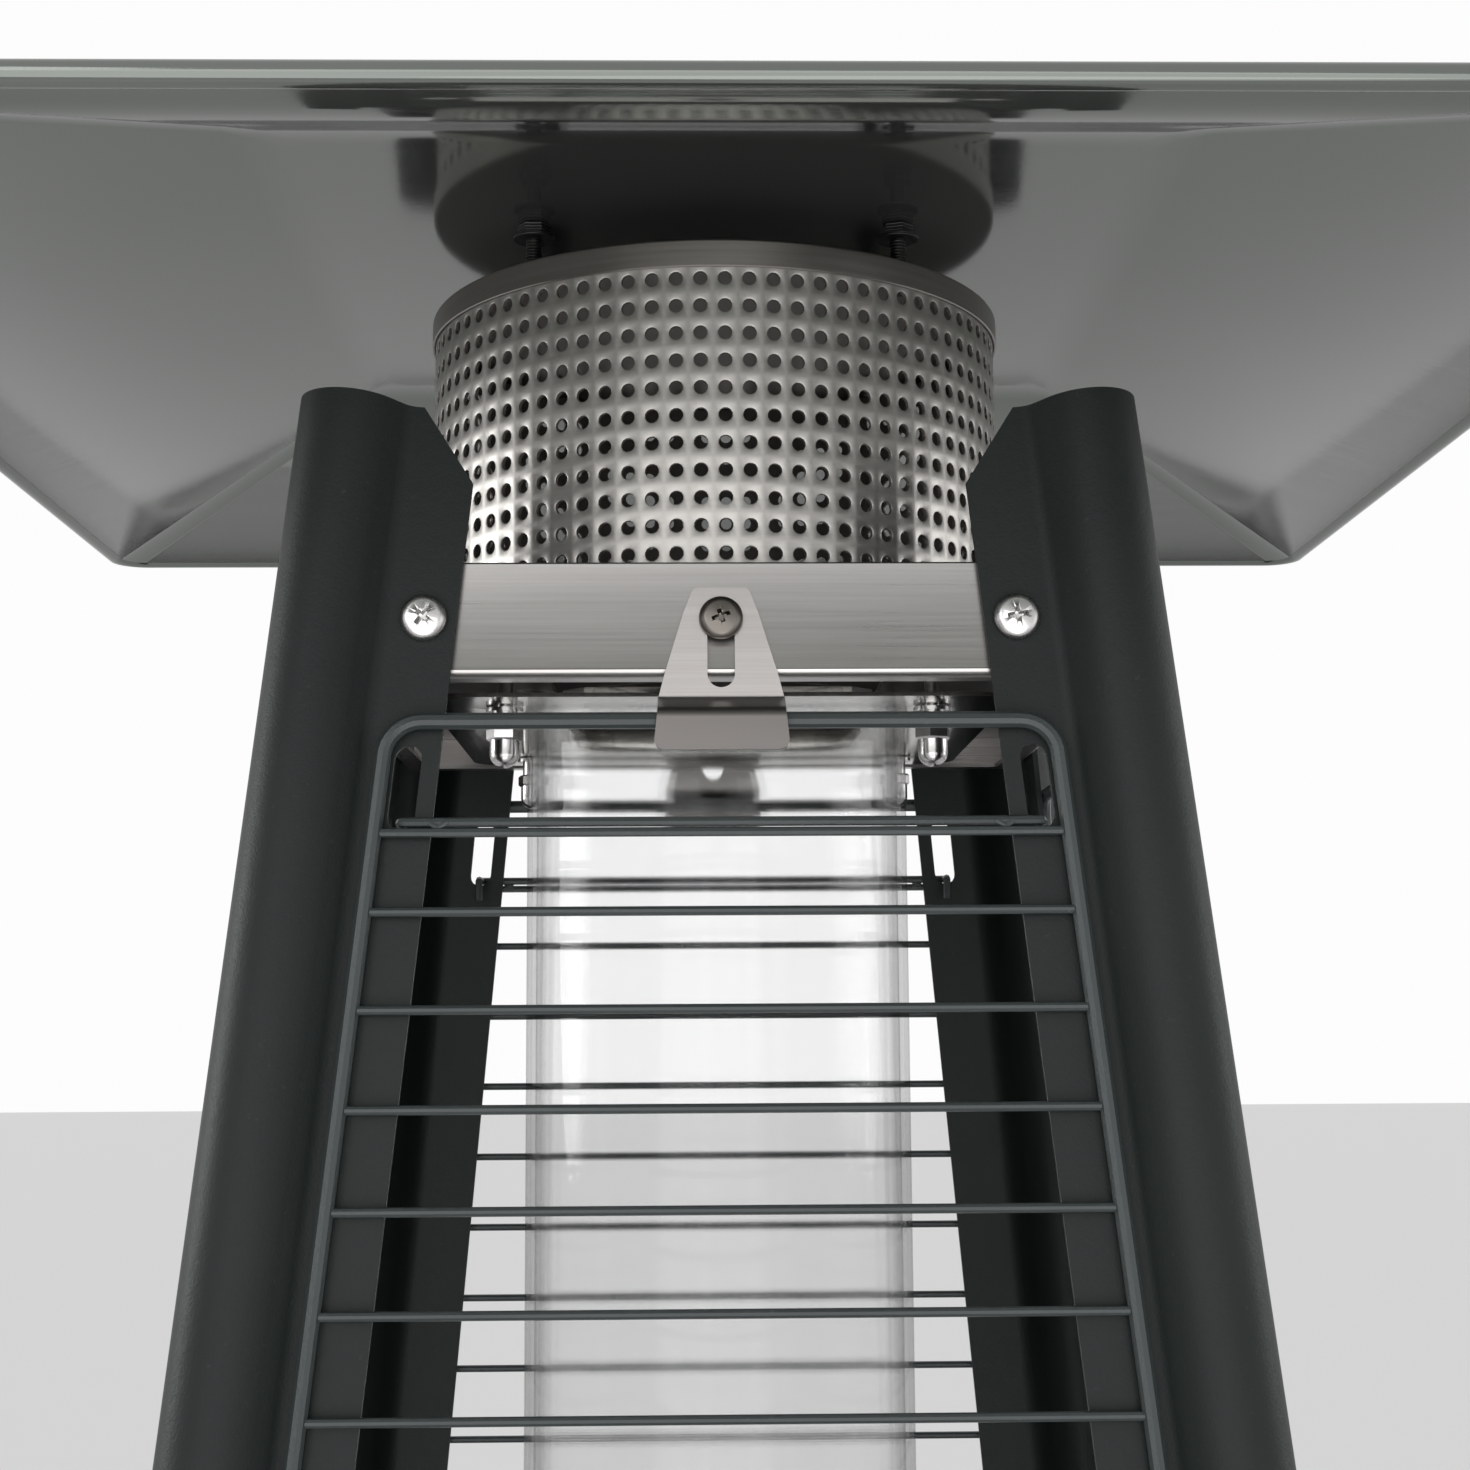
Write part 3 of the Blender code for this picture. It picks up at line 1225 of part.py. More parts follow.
def make_pins(low, high):
    """Pins that carry the door: one stands on the base, one hangs in a tab behind the control panel."""
    foot = BASE_TOP + GAP
    lower = add_object("door_pin_lower", hinge_rod(foot, low + PIN_LENGTH - GAP, PIN_RADIUS, level_low=True))
    collar = hinge_rod(foot, low - PIN_BOSS_CLEAR, PIN_BOSS, level_low=True, level_high=True)
    carve(lower, add_object("pin_collar", collar), "UNION")
    finish(lower, (0.5, 0.5, 0.5), 0.35, 1.0)
    top = DOOR_TOP + CONTROL_GAP
    upper = add_object("door_pin_upper", hinge_rod(high - PIN_LENGTH + GAP, top + PIN_ABOVE, PIN_RADIUS))
    at = door_axis(top)
    tab_low = (at.x - PIN_BOSS, -face(top + HINGE_TAB) + PANEL_SHEET + GAP, top + GAP)
    plate = box(tab_low, (at.x + PIN_BOSS, at.y + PIN_BOSS, top + HINGE_TAB))
    carve(upper, add_object("pin_tab", plate), "UNION")
    finish(upper, (0.5, 0.5, 0.5), 0.35, 1.0)


def make_handle():
    """Bow handle on two feet near the free edge of the door."""
    z = (BASE_TOP + DOOR_TOP) * 2 / 3
    x = opening(z) - DOOR_GAP - HANDLE_INSET
    outline = []
    half = HANDLE_LENGTH / 2
    stand = HANDLE_STAND
    bar = HANDLE_BAR
    foot = HANDLE_FOOT
    shape = [(-half, GAP), (-half, stand / 2), (-half + bar, stand), (half - bar, stand), (half, stand / 2)]
    shape += [(half, GAP), (half - foot, GAP), (half - foot, stand / 2 - bar / 2), (half - foot - bar / 2, stand - bar)]
    shape += [(-half + foot + bar / 2, stand - bar), (-half + foot, stand / 2 - bar / 2), (-half + foot, GAP)]
    for rise, out in shape:
        height = z + rise
        outline.append((-(flange_out(height) + out), height))
    rings = [[(x + end * HANDLE_WIDTH / 2, y, h) for y, h in outline] for end in (-1, 1)]
    finish(add_object("door_handle", loft(rings)), (0.02, 0.02, 0.02), 0.4, 0.0)


# Base, feet and wheels


def make_base():
    """Pan with down-turned sides under the posts, with two pairs of ears under its rear edge for the wheels."""
    half = CROWN_OUT + lean(BASE_TOP) + BASE_LIP
    outer = rounded_square(half, BASE_CORNER, 4)
    inner = rounded_square(half - BASE_WALL, BASE_CORNER - BASE_WALL, 4)
    rings = [
        [(x, y, BASE_TOP - BASE_WALL) for x, y in inner],
        [(x, y, FOOT_HEIGHT) for x, y in inner],
        [(x, y, FOOT_HEIGHT) for x, y in outer],
        [(x, y, BASE_TOP) for x, y in outer],
    ]
    base = add_object("base_pan", loft(rings))
    axle_y = half - WHEEL_RADIUS
    for wheel in (-1, 1):
        for end in (-1, 1):
            x = wheel * WHEEL_PLACE + end * EAR_SPREAD / 2
            low = min(x, x + end * EAR_THICK)
            carve(base, add_object(f"ear_{wheel}_{end}", ear_body(low, axle_y)), "UNION")
        reach = WHEEL_WIDTH / 2 + WHEEL_OPENING
        low = (wheel * WHEEL_PLACE - reach, axle_y + WHEEL_RADIUS / 2, FOOT_HEIGHT - OVERRUN)
        high = (wheel * WHEEL_PLACE + reach, half + OVERRUN, AXLE_HEIGHT + WHEEL_RADIUS / 2 + WHEEL_OPENING)
        carve(base, add_object(f"wheel_opening_{wheel}", box(low, high)))
    axle_cut = axle_body(AXLE_RADIUS + AXLE_CLEAR, WHEEL_PLACE + EAR_SPREAD, axle_y)
    carve(base, add_object("axle_cut", axle_cut))
    finish(base, CHARCOAL, 0.45, 0.0)
    make_feet(half)
    make_wheels(axle_y)


def ear_body(low_x, axle_y):
    top = BASE_TOP - BASE_WALL / 2
    outline = [(axle_y + EAR_HALF, top), (axle_y - EAR_HALF, top)]
    for step in range(7):
        angle = math.pi * (1 + step / 6)
        outline.append((axle_y + EAR_HALF * math.cos(angle), AXLE_HEIGHT + EAR_HALF * math.sin(angle)))
    return loft([[(x, y, z) for y, z in outline] for x in (low_x, low_x + EAR_THICK)])


def axle_body(radius, half_length, axle_y, head=0.0, head_thick=0.0):
    profile = disc_profile(radius, -half_length, half_length)
    if head:
        profile = [(0, -half_length - head_thick), (head, -half_length - head_thick), (head, -half_length)]
        profile += [(radius, -half_length), (radius, half_length), (head, half_length)]
        profile += [(head, half_length + head_thick), (0, half_length + head_thick)]
    bm = turned(profile, 16)
    turn = Matrix.Rotation(QUARTER, 4, "Y")
    bmesh.ops.transform(bm, matrix=Matrix.Translation((0, axle_y, AXLE_HEIGHT)) @ turn, verts=bm.verts)
    return bm


def make_wheels(axle_y):
    reach = WHEEL_PLACE + EAR_SPREAD / 2 + EAR_THICK + GAP
    axle = axle_body(AXLE_RADIUS, reach, axle_y, AXLE_HEAD, AXLE_HEAD_THICK)
    finish(add_object("wheel_axle", axle), (0.5, 0.5, 0.5), 0.35, 1.0)
    bore = AXLE_RADIUS + AXLE_CLEAR
    half = WHEEL_WIDTH / 2
    profile = [(bore, half + HUB_PROUD), (HUB_RADIUS, half + HUB_PROUD), (HUB_RADIUS, half - HUB_PROUD)]
    profile += [(WHEEL_RADIUS - WHEEL_TREAD, half - HUB_PROUD), (WHEEL_RADIUS, half - HUB_PROUD)]
    mirrored = [(radius, -height) for radius, height in reversed(profile)]
    for name, side in (("wheel_left", -1), ("wheel_right", 1)):
        bm = turned(profile + mirrored, 16)
        bmesh.ops.transform(bm, matrix=Matrix.Rotation(QUARTER, 4, "Y"), verts=bm.verts)
        wheel = add_object(name, bm, (side * WHEEL_PLACE, axle_y, AXLE_HEIGHT))
        finish(wheel, (0.03, 0.03, 0.03), 0.6, 0.0)


def make_feet(half):
    inset = half - FOOT_INSET
    top = BASE_TOP - BASE_WALL - GAP
    profile = [(0, top), (FOOT_RADIUS - FOOT_TAPER, top), (FOOT_RADIUS, FOOT_HEIGHT)]
    profile += [(FOOT_RADIUS, FOOT_TAPER), (FOOT_RADIUS - FOOT_TAPER, 0), (0, 0)]
    for k, corner in enumerate(CORNERS):
        place = quarter_point(-inset, -inset, k)
        foot = add_object(f"foot_{corner}", turned(profile, 12, place))
        finish(foot, (0.04, 0.04, 0.04), 0.8, 0.0)


clear_scene()
make_base()
make_posts()
make_panels()
make_control_panel()
make_controls()
make_door()
make_deck()
make_burner()
make_pilot()
make_glass()
make_neck_box()
make_glass_holder()
make_clamp_studs()
make_screen()
make_lid()
make_reflector()
make_reflector_studs()
make_latches()
make_latch_screws()
make_guards()
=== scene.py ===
from math import asin, atan, atan2, cos, degrees, pi, radians, sin, tan

import bmesh
import bpy
from mathutils import Matrix, Vector


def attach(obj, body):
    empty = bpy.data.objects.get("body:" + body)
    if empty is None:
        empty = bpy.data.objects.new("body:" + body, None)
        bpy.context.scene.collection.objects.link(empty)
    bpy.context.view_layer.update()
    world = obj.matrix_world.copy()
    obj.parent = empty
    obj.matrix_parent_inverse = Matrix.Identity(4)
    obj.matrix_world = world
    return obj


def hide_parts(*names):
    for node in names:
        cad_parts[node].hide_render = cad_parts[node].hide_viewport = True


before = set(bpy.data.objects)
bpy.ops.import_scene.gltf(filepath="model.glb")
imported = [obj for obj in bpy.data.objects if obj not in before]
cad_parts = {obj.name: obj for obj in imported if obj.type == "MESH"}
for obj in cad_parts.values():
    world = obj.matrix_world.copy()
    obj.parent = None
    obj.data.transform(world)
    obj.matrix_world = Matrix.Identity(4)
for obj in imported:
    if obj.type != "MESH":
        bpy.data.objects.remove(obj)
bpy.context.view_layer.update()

QUARTER = pi / 2
SIDES = ("front", "right", "rear", "left")
CORNERS = ("front_left", "front_right", "rear_right", "rear_left")
MM = 0.001

# Sizes shared with the solids
GAP = 0.0003
SLOPE = 0.0965
NECK = 2.065
FACE = 0.0932
SHEET = 0.0015
OPENING = 0.061
FLANGE = 0.0165
BASE_TOP = 0.046
POST_TOP = 2.130
CROWN_OUT = 0.1034
CROWN_RADIUS = 0.0125
DECK = 0.800
SLOT_INSET = 0.0070
SHELF_HOLE = 0.060
CLAMP_PLACE = 0.0520
STUD_PLACE = 0.0460
SCREEN_TOP = NECK + 0.108
LID_TOP = NECK + 0.109
REFLECTOR_TOP = NECK + 0.124
REFLECTOR_SHEET = 0.0008
VALVE_X = 0.045
KNOB_TURN = 210
TILT = atan(SLOPE)
OUTWARD = Vector((0, -cos(TILT), sin(TILT)))

# Camera and light
FOCAL_PIXELS = 2289.4
PICTURE_PIXELS = 1470
CAMERA_PLACE = (-0.00734, -0.60406, NECK - 0.07928)
CAMERA_PITCH, CAMERA_YAW, CAMERA_ROLL = 0.12864, 0.02032, -0.00595
LIT_POINT = Vector((0, 0, 1.9))


def lean(z):
    return SLOPE * (NECK - z)


def face(z):
    return FACE + lean(z)


def flange_out(z):
    return face(z) + GAP + SHEET


def opening(z):
    return OPENING + lean(z)


# Shader and geometry trees


def maths(operation, swapped=False):
    """A method that adds a math node to the tree of the link it is called on."""

    def method(self, *others):
        terms = (*others, self) if swapped else (self, *others)
        return self.tree.node("ShaderNodeMath", {"operation": operation}, dict(enumerate(terms)))

    return method


class Link:
    """A node's socket that takes part in sums and products."""

    __add__ = __radd__ = maths("ADD")
    __sub__ = maths("SUBTRACT")
    __rsub__ = maths("SUBTRACT", swapped=True)
    __mul__ = __rmul__ = maths("MULTIPLY")
    __truediv__ = maths("DIVIDE")
    __lt__ = maths("LESS_THAN")
    __gt__ = maths("GREATER_THAN")
    floor = maths("FLOOR")
    cos = maths("COSINE")
    sin = maths("SINE")

    def __init__(self, tree, socket):
        self.tree = tree
        self.socket = socket


class Tree:
    """Nodes added by type, settings and socket values."""

    def __init__(self, nodes):
        self.nodes = nodes

    def node(self, kind, settings=None, values=None, out=0):
        made = self.nodes.nodes.new(kind)
        for key, value in (settings or {}).items():
            if key == "ramp":
                self.fill_ramp(made.color_ramp, value)
            else:
                setattr(made, key, value)
        for key, value in (values or {}).items():
            self.feed(made.inputs[key], value)
        return Link(self, made.outputs[out])

    def feed(self, socket, value):
        if isinstance(value, Link):
            self.nodes.links.new(value.socket, socket)
        else:
            socket.default_value = value

    def vector(self, x=0.0, y=0.0, z=0.0):
        return self.node("ShaderNodeCombineXYZ", None, {0: x, 1: y, 2: z})

    def turn(self, angle):
        """A rotation about the vertical."""
        return self.node("FunctionNodeEulerToRotation", None, {0: self.vector(z=angle)})

    @staticmethod
    def fill_ramp(ramp, stops):
        while len(ramp.elements) < len(stops):
            ramp.elements.new(0.5)
        for element, (place, grey) in zip(ramp.elements, stops):
            element.position = place
            element.color = (grey, grey, grey, 1) if isinstance(grey, float) else (*grey, 1)


class Finish(Tree):
    """A surface finish on Principled BSDF with patterns in object coordinates."""

    def __init__(self, name, **constants):
        self.material = bpy.data.materials.new(name)
        self.material.use_nodes = True
        super().__init__(self.material.node_tree)
        self.shader = self.nodes.nodes["Principled BSDF"]
        self.place = self.node("ShaderNodeTexCoord", out=3)
        for key, value in constants.items():
            self.put(key.replace("_", " "), value)

    def put(self, socket, value):
        if isinstance(value, tuple) and len(value) == 3:
            value = (*value, 1.0)
        self.feed(self.shader.inputs[socket], value)

    def done(self, colour, rough, normal):
        """The material, once these are in place."""
        self.put("Base Color", colour)
        self.put("Roughness", rough)
        self.put("Normal", normal)
        return self.material

    def noise(self, scale, detail=2.0, stretch=None, rough=0.5):
        vector = self.place
        if stretch:
            vector = self.node("ShaderNodeMapping", None, {"Vector": vector, "Scale": stretch})
        values = {"Vector": vector, "Scale": scale, "Detail": detail, "Roughness": rough}
        return self.node("ShaderNodeTexNoise", None, values)

    def ramp(self, factor, stops):
        return self.node("ShaderNodeValToRGB", {"ramp": stops}, {0: factor})

    def mix(self, factor, first, second):
        values = {0: factor}
        for slot, colour in ((6, first), (7, second)):
            values[slot] = colour if isinstance(colour, Link) else (*colour, 1.0)
        return self.node("ShaderNodeMix", {"data_type": "RGBA"}, values, out=2)

    def bump(self, height, strength, distance, after=None):
        values = {"Strength": strength, "Distance": distance, "Height": height}
        if after is not None:
            values["Normal"] = after
        return self.node("ShaderNodeBump", None, values)

    def axis(self, index):
        return self.node("ShaderNodeSeparateXYZ", None, {0: self.place}, out=index)


def shade(colour, factor, lift=0.0):
    return tuple(min(1.0, part * factor + lift) for part in colour)


def powder_coat(name, low, high, rough, sheen):
    """Fine textured coat with a soft cloudiness and pale dust in the grain."""
    coat = Finish(name, IOR=1.5, Specular_IOR_Level=sheen)
    cloud = coat.ramp(coat.noise(7.0, 4.0), ((0.35, 0.0), (0.68, 1.0)))
    grain = coat.noise(1500.0, 2.0)
    speck = coat.ramp(coat.noise(420.0, 3.0, rough=0.7), ((0.66, 0.0), (0.76, 1.0)))
    colour = coat.mix(speck * 0.35, coat.mix(cloud, low, high), shade(high, 1.9, 0.01))
    rough = rough + (grain - 0.5) * 0.16 + cloud * 0.05
    waves = coat.bump(coat.noise(260.0, 1.0), 0.10, 0.0006)
    return coat.done(colour, rough, coat.bump(grain, 0.24, 0.0003, waves))


def brushed_steel(name, low, high, rough, stretch, sooty_and_shaded=None, painted_shade_below=None):
    """Sheet with a level grain, faint cross hairs and hand marks.

    sooty_and_shaded is (radius, colour) for an inside darkened by soot and painted shade, painted_shade_below
    is (height, colour) for painted shade on the lower part.
    """
    steel = Finish(name, Metallic=1.0)
    grain = steel.noise(1.0, 3.0, stretch, 0.65)
    crossed = steel.noise(1.0, 1.0, tuple(part * 0.35 for part in stretch))
    hairs = steel.ramp(crossed, ((0.62, 0.0), (0.80, 1.0)))
    smudge = steel.ramp(steel.noise(16.0, 3.0, rough=0.6), ((0.36, 0.0), (0.72, 1.0)))
    colour = steel.mix(hairs * 0.25, steel.mix(grain, low, high), shade(high, 1.25))
    colour = steel.mix(smudge * 0.30, colour, low)
    # Inside this radius the colour is darker: soot, and painted shade for the dim inside of the tube.
    if sooty_and_shaded:
        edge, dark = sooty_and_shaded
        around = steel.node("ShaderNodeVectorMath", {"operation": "MULTIPLY"}, {0: steel.place, 1: (1, 1, 0)})
        radius = steel.node("ShaderNodeVectorMath", {"operation": "LENGTH"}, {0: around}, out=1)
        inside = radius < edge
        colour = steel.mix(inside, colour, dark)
        steel.put("Metallic", 1 - inside * 0.8)
    # painted shade: the colour is painted darker below the given height
    if painted_shade_below:
        height, dark = painted_shade_below
        painted_shade_mask = steel.ramp((height - steel.axis(2)) * 400.0, ((0.0, 0.0), (1.0, 1.0)))
        colour = steel.mix(painted_shade_mask, colour, dark)
    rough = rough + (grain - 0.5) * 0.12 + smudge * 0.05
    return steel.done(colour, rough, steel.bump(grain, 0.04, 0.0002))


def reflector_steel():
    """Bright polished sheet, greenish, faintly wavy between its bends, with a fine rolling grain."""
    steel = Finish("reflector_steel", Metallic=0.8)
    broad = steel.ramp(steel.noise(3.2, 2.0), ((0.30, 0.0), (0.70, 1.0)))
    grain = steel.noise(1.0, 2.0, (9.0, 520.0, 40.0))
    fine = steel.noise(900.0, 2.0)
    colour = steel.mix(broad, (0.108, 0.118, 0.109), (0.162, 0.172, 0.160))
    colour = steel.mix(grain * 0.35, colour, (0.142, 0.150, 0.140))
    waves = steel.bump(steel.noise(4.5, 1.0), 0.10, 0.004)
    return steel.done(colour, 0.060 + grain * 0.04 + fine * 0.04, steel.bump(fine, 0.03, 0.0002, waves))


def bright_metal(name, colour, rough):
    """Plated or machined small parts with a little mottling."""
    plate = Finish(name, Metallic=1.0)
    mottle = plate.noise(240.0, 3.0)
    normal = plate.bump(plate.noise(900.0, 2.0), 0.06, 0.0002)
    return plate.done(plate.mix(mottle, shade(colour, 0.72), colour), rough + mottle * 0.14, normal)


def threaded_metal(name, colour, rough, pitch):
    """Threaded rod: fine rings along its length, their roots painted darker as painted shade."""
    metal = Finish(name, Metallic=1.0)
    thread = (metal.axis(2) * (2 * pi / pitch)).sin()
    # painted shade: the colour is darker where the thread's bump is low
    colour = metal.mix(thread * 0.5 + 0.5, shade(colour, 0.45), colour)
    return metal.done(colour, rough, metal.bump(thread, 0.9, 0.0003))


def moulded_plastic(name, colour, rough, coat=0.0):
    plastic = Finish(name, IOR=1.48, Coat_Weight=coat)
    grain = plastic.noise(1100.0, 2.0)
    mottled = plastic.mix(plastic.noise(60.0, 3.0), colour, shade(colour, 1.5, 0.004))
    return plastic.done(mottled, rough + (grain - 0.5) * 0.12, plastic.bump(grain, 0.12, 0.0002))


def tube_glass():
    """Clear thin wall that bends little of what is behind it, with a bright skin and faint drawing lines."""
    constants = {"IOR": 1.06, "Roughness": 0.0, "Coat_IOR": 1.5, "Coat_Roughness": 0.015}
    glass = Finish("tube_glass", Transmission_Weight=1.0, **constants)
    lines = glass.noise(1.0, 2.0, (260.0, 260.0, 1.2))
    tone = glass.ramp(lines, ((0.40, 0.0), (0.66, 1.0)))
    glass.put("Base Color", glass.mix(tone, (0.940, 0.950, 0.945), (0.975, 0.98, 0.978)))
    glass.put("Coat Weight", 0.55 + tone * 0.30)
    facing = glass.node("ShaderNodeLayerWeight", None, {"Blend": 0.5}, out=1)
    pale = glass.ramp(facing, ((0.0, 0.972), (0.56, 0.96), (0.61, 0.84), (0.82, 0.89), (1.0, 0.76)))
    clear = glass.node("ShaderNodeBsdfTransparent", None, {"Color": pale})
    bent = Link(glass, glass.shader.outputs[0])
    both = glass.node("ShaderNodeMixShader", None, {0: 0.24 + tone * 0.06, 1: clear, 2: bent})
    glass.feed(glass.nodes.nodes["Material Output"].inputs["Surface"], both)
    return glass.material


def heat_steel():
    """Burner steel with straw and blue heat tints that rise with height."""
    steel = Finish("heat_steel", Metallic=1.0)
    rise = (steel.axis(2) - DECK) * 18.0 + steel.noise(40.0, 3.0) * 0.35
    straw, blue = (0.36, 0.29, 0.20), (0.22, 0.18, 0.22)
    stops = ((0.0, (0.40, 0.39, 0.38)), (0.45, straw), (0.75, blue), (1.0, (0.16, 0.16, 0.18)))
    steel.put("Base Color", steel.ramp(rise, stops))
    steel.put("Roughness", 0.38 + steel.noise(300.0) * 0.2)
    return steel.material


def rubber_finish():
    rubber = Finish("rubber", IOR=1.5)
    dust = rubber.ramp(rubber.noise(120.0, 4.0, rough=0.7), ((0.5, 0.0), (0.8, 1.0)))
    colour = rubber.mix(dust * 0.4, (0.018, 0.018, 0.018), (0.06, 0.058, 0.055))
    return rubber.done(colour, 0.72 + dust * 0.15, rubber.bump(rubber.noise(700.0), 0.25, 0.0003))


def seat_ceramic():
    ceramic = Finish("seat_ceramic", IOR=1.5)
    grain = ceramic.noise(260.0, 4.0)
    colour = ceramic.mix(grain, (0.30, 0.29, 0.27), (0.42, 0.41, 0.39))
    return ceramic.done(colour, 0.8 + grain * 0.1, ceramic.bump(grain, 0.3, 0.0004))


COAT = powder_coat("charcoal_coat", (0.0078, 0.0104, 0.0098), (0.0126, 0.0158, 0.0149), 0.46, 0.16)
WIRE_COAT = powder_coat("guard_coat", (0.020, 0.025, 0.025), (0.032, 0.039, 0.039), 0.32, 0.40)
BOX_STEEL = brushed_steel("box_steel", (0.36, 0.345, 0.335), (0.50, 0.485, 0.475), 0.28, (14.0, 14.0, 1500.0))
# The latch's lower bend and tab get painted shade: their colour is painted darker.
LATCH_STEEL = brushed_steel(
    "latch_steel", (0.29, 0.273, 0.264), (0.43, 0.412, 0.40), 0.32, (20.0, 20.0, 1700.0),
    painted_shade_below=(NECK - 0.0065, (0.15, 0.14, 0.134))
)
# Its inside is darkened both for soot and as painted shade.
SCREEN_STEEL = brushed_steel(
    "screen_steel", (0.31, 0.30, 0.285), (0.44, 0.425, 0.405), 0.40, (24.0, 24.0, 900.0),
    sooty_and_shaded=(0.0749, (0.075, 0.066, 0.058))
)
LID_STEEL = brushed_steel("lid_steel", (0.20, 0.185, 0.175), (0.34, 0.315, 0.30), 0.32, (20.0, 20.0, 1200.0))
HOLDER_STEEL = brushed_steel(
    "holder_steel", (0.36, 0.355, 0.33), (0.48, 0.47, 0.445), 0.12, (700.0, 14.0, 14.0)
)
REFLECTOR = reflector_steel()
BRIGHT = bright_metal("bright_zinc", (0.62, 0.61, 0.60), 0.16)
SCREW_BRIGHT = bright_metal("screw_zinc", (0.58, 0.57, 0.56), 0.20)
SCREW_DARK = bright_metal("screw_bronze", (0.17, 0.155, 0.14), 0.26)
ZINC = bright_metal("matte_zinc", (0.42, 0.42, 0.41), 0.34)
ROD = threaded_metal("threaded_rod", (0.14, 0.14, 0.135), 0.40, 0.0008)
DARK_NUT = bright_metal("dark_zinc", (0.15, 0.15, 0.145), 0.38)
BRASS = bright_metal("valve_brass", (0.62, 0.46, 0.22), 0.30)
BLACK = moulded_plastic("black_plastic", (0.016, 0.016, 0.017), 0.42)
MARK = moulded_plastic("mark_ink", (0.55, 0.55, 0.53), 0.5)
RED = moulded_plastic("red_plastic", (0.30, 0.018, 0.015), 0.30, 0.3)
RUBBER = rubber_finish()
CERAMIC = seat_ceramic()
GLASS = tube_glass()
HEAT = heat_steel()


# Mesh helpers


def shaded(mesh, sharp=32):
    """The mesh with smooth faces, and edges sharp above this many degrees."""
    mesh.shade_smooth()
    mesh.set_sharp_from_angle(angle=radians(sharp))
    return mesh


def mesh_of(bm, sharp=32):
    mesh = bpy.data.meshes.new("shape")
    bm.to_mesh(mesh)
    bm.free()
    return shaded(mesh, sharp)


def linked(name, data):
    """An object with this data, in the scene."""
    obj = bpy.data.objects.new(name, data)
    bpy.context.scene.collection.objects.link(obj)
    return obj


def modified(data, *modifiers):
    """The mesh that a mesh or curve makes after these modifiers, given as (type, settings)."""
    holder = linked("holder", data)
    for kind, settings in modifiers:
        modifier = holder.modifiers.new(kind, kind)
        for key, value in settings.items():
            if hasattr(modifier, key):
                setattr(modifier, key, value)
            else:
                modifier[key] = value
    graph = bpy.context.evaluated_depsgraph_get()
    made = bpy.data.meshes.new_from_object(holder.evaluated_get(graph))
    bpy.data.objects.remove(holder)
    return made


def settled(mesh, *modifiers, sharp=32):
    return shaded(modified(mesh, *modifiers), sharp)


def rounded(mesh, width, sharp=32, segments=2):
    """The mesh with rounded edges, shaded so that its large faces look flat."""
    bevel = {"width": width, "segments": segments, "limit_method": "ANGLE", "angle_limit": radians(35)}
    flat = {"mode": "FACE_AREA", "weight": 95, "keep_sharp": True}
    return modified(settled(mesh, ("BEVEL", bevel), sharp=sharp), ("WEIGHTED_NORMAL", flat))


def cut(mesh, cutters):
    """The mesh with other meshes cut from it."""
    helpers = [linked("cutter", cutter) for cutter in cutters]
    exact = {"operation": "DIFFERENCE", "solver": "EXACT"}
    made = settled(mesh, *(("BOOLEAN", exact | {"object": helper}) for helper in helpers))
    for helper in helpers:
        bpy.data.objects.remove(helper)
    return made


def skinned(bm, rows, closed):
    """Faces between rows of points, each a ring or one point, and from last row to first if closed."""
    for low, high in zip(rows, rows[1:] + rows[:1] if closed else rows[1:]):
        sides = max(len(low), len(high))
        for k in range(sides):
            after = (k + 1) % sides
            corners = (low[k % len(low)], low[after % len(low)], high[after % len(high)], high[k % len(high)])
            bm.faces.new(list(dict.fromkeys(corners)))
    bmesh.ops.recalc_face_normals(bm, faces=bm.faces)
    return bm


def loft(rings, capped=True):
    """A body through rings of points, with end caps or closed on itself."""
    bm = bmesh.new()
    rows = [[bm.verts.new(point) for point in ring] for ring in rings]
    if capped:
        bm.faces.new(rows[0])
        bm.faces.new(list(reversed(rows[-1])))
    return skinned(bm, rows, not capped)


def turned(profile, sides, middle=(0, 0)):
    """A body turned round the vertical, from pole to pole or round a closed profile."""
    bm = bmesh.new()
    angles = [2 * pi * k / sides for k in range(sides)]
    rows = []
    for radius, height in profile:
        ring = angles if radius else angles[:1]
        places = [(middle[0] + radius * cos(a), middle[1] + radius * sin(a), height) for a in ring]
        rows.append([bm.verts.new(place) for place in places])
    return skinned(bm, rows, profile[0][0] != 0)


def spun(profile, sides, sharp=50):
    return mesh_of(turned(profile, sides), sharp)


def rod(radius, low, high, sides):
    return spun([(0, low), (radius, low), (radius, high), (0, high)], sides)


def block(place, size):
    bm = bmesh.new()
    bmesh.ops.create_cube(bm, size=1)
    bmesh.ops.transform(bm, matrix=place @ Matrix.Diagonal((*size, 1)), verts=bm.verts)
    return mesh_of(bm)


def arc(middle, radius, start, end, steps):
    """Points on an arc in a plane, angles in degrees."""
    angles = [radians(start + (end - start) * k / steps) for k in range(steps + 1)]
    return [(middle[0] + radius * cos(a), middle[1] + radius * sin(a)) for a in angles]


def polar(radius, angle):
    return radius * cos(angle), radius * sin(angle)


def quarter_point(x, y, k):
    for _ in range(k):
        x, y = -y, x
    return x, y


def rounded_square(half, corner, steps):
    points = []
    reach = half - corner
    for k in range(4):
        points += arc(quarter_point(reach, reach, k), corner, 90 * k, 90 * k + 90, steps)
    return points


def oblong(x, y):
    return [(-x, -y), (x, -y), (x, y), (-x, y)]


def in_mm(points, foot=0.0):
    """A profile from radii and heights above its foot in millimetres."""
    return [(radius * MM, foot + height * MM) for radius, height in points]


def level(points, z):
    return [(x, y, z) for x, y in points]


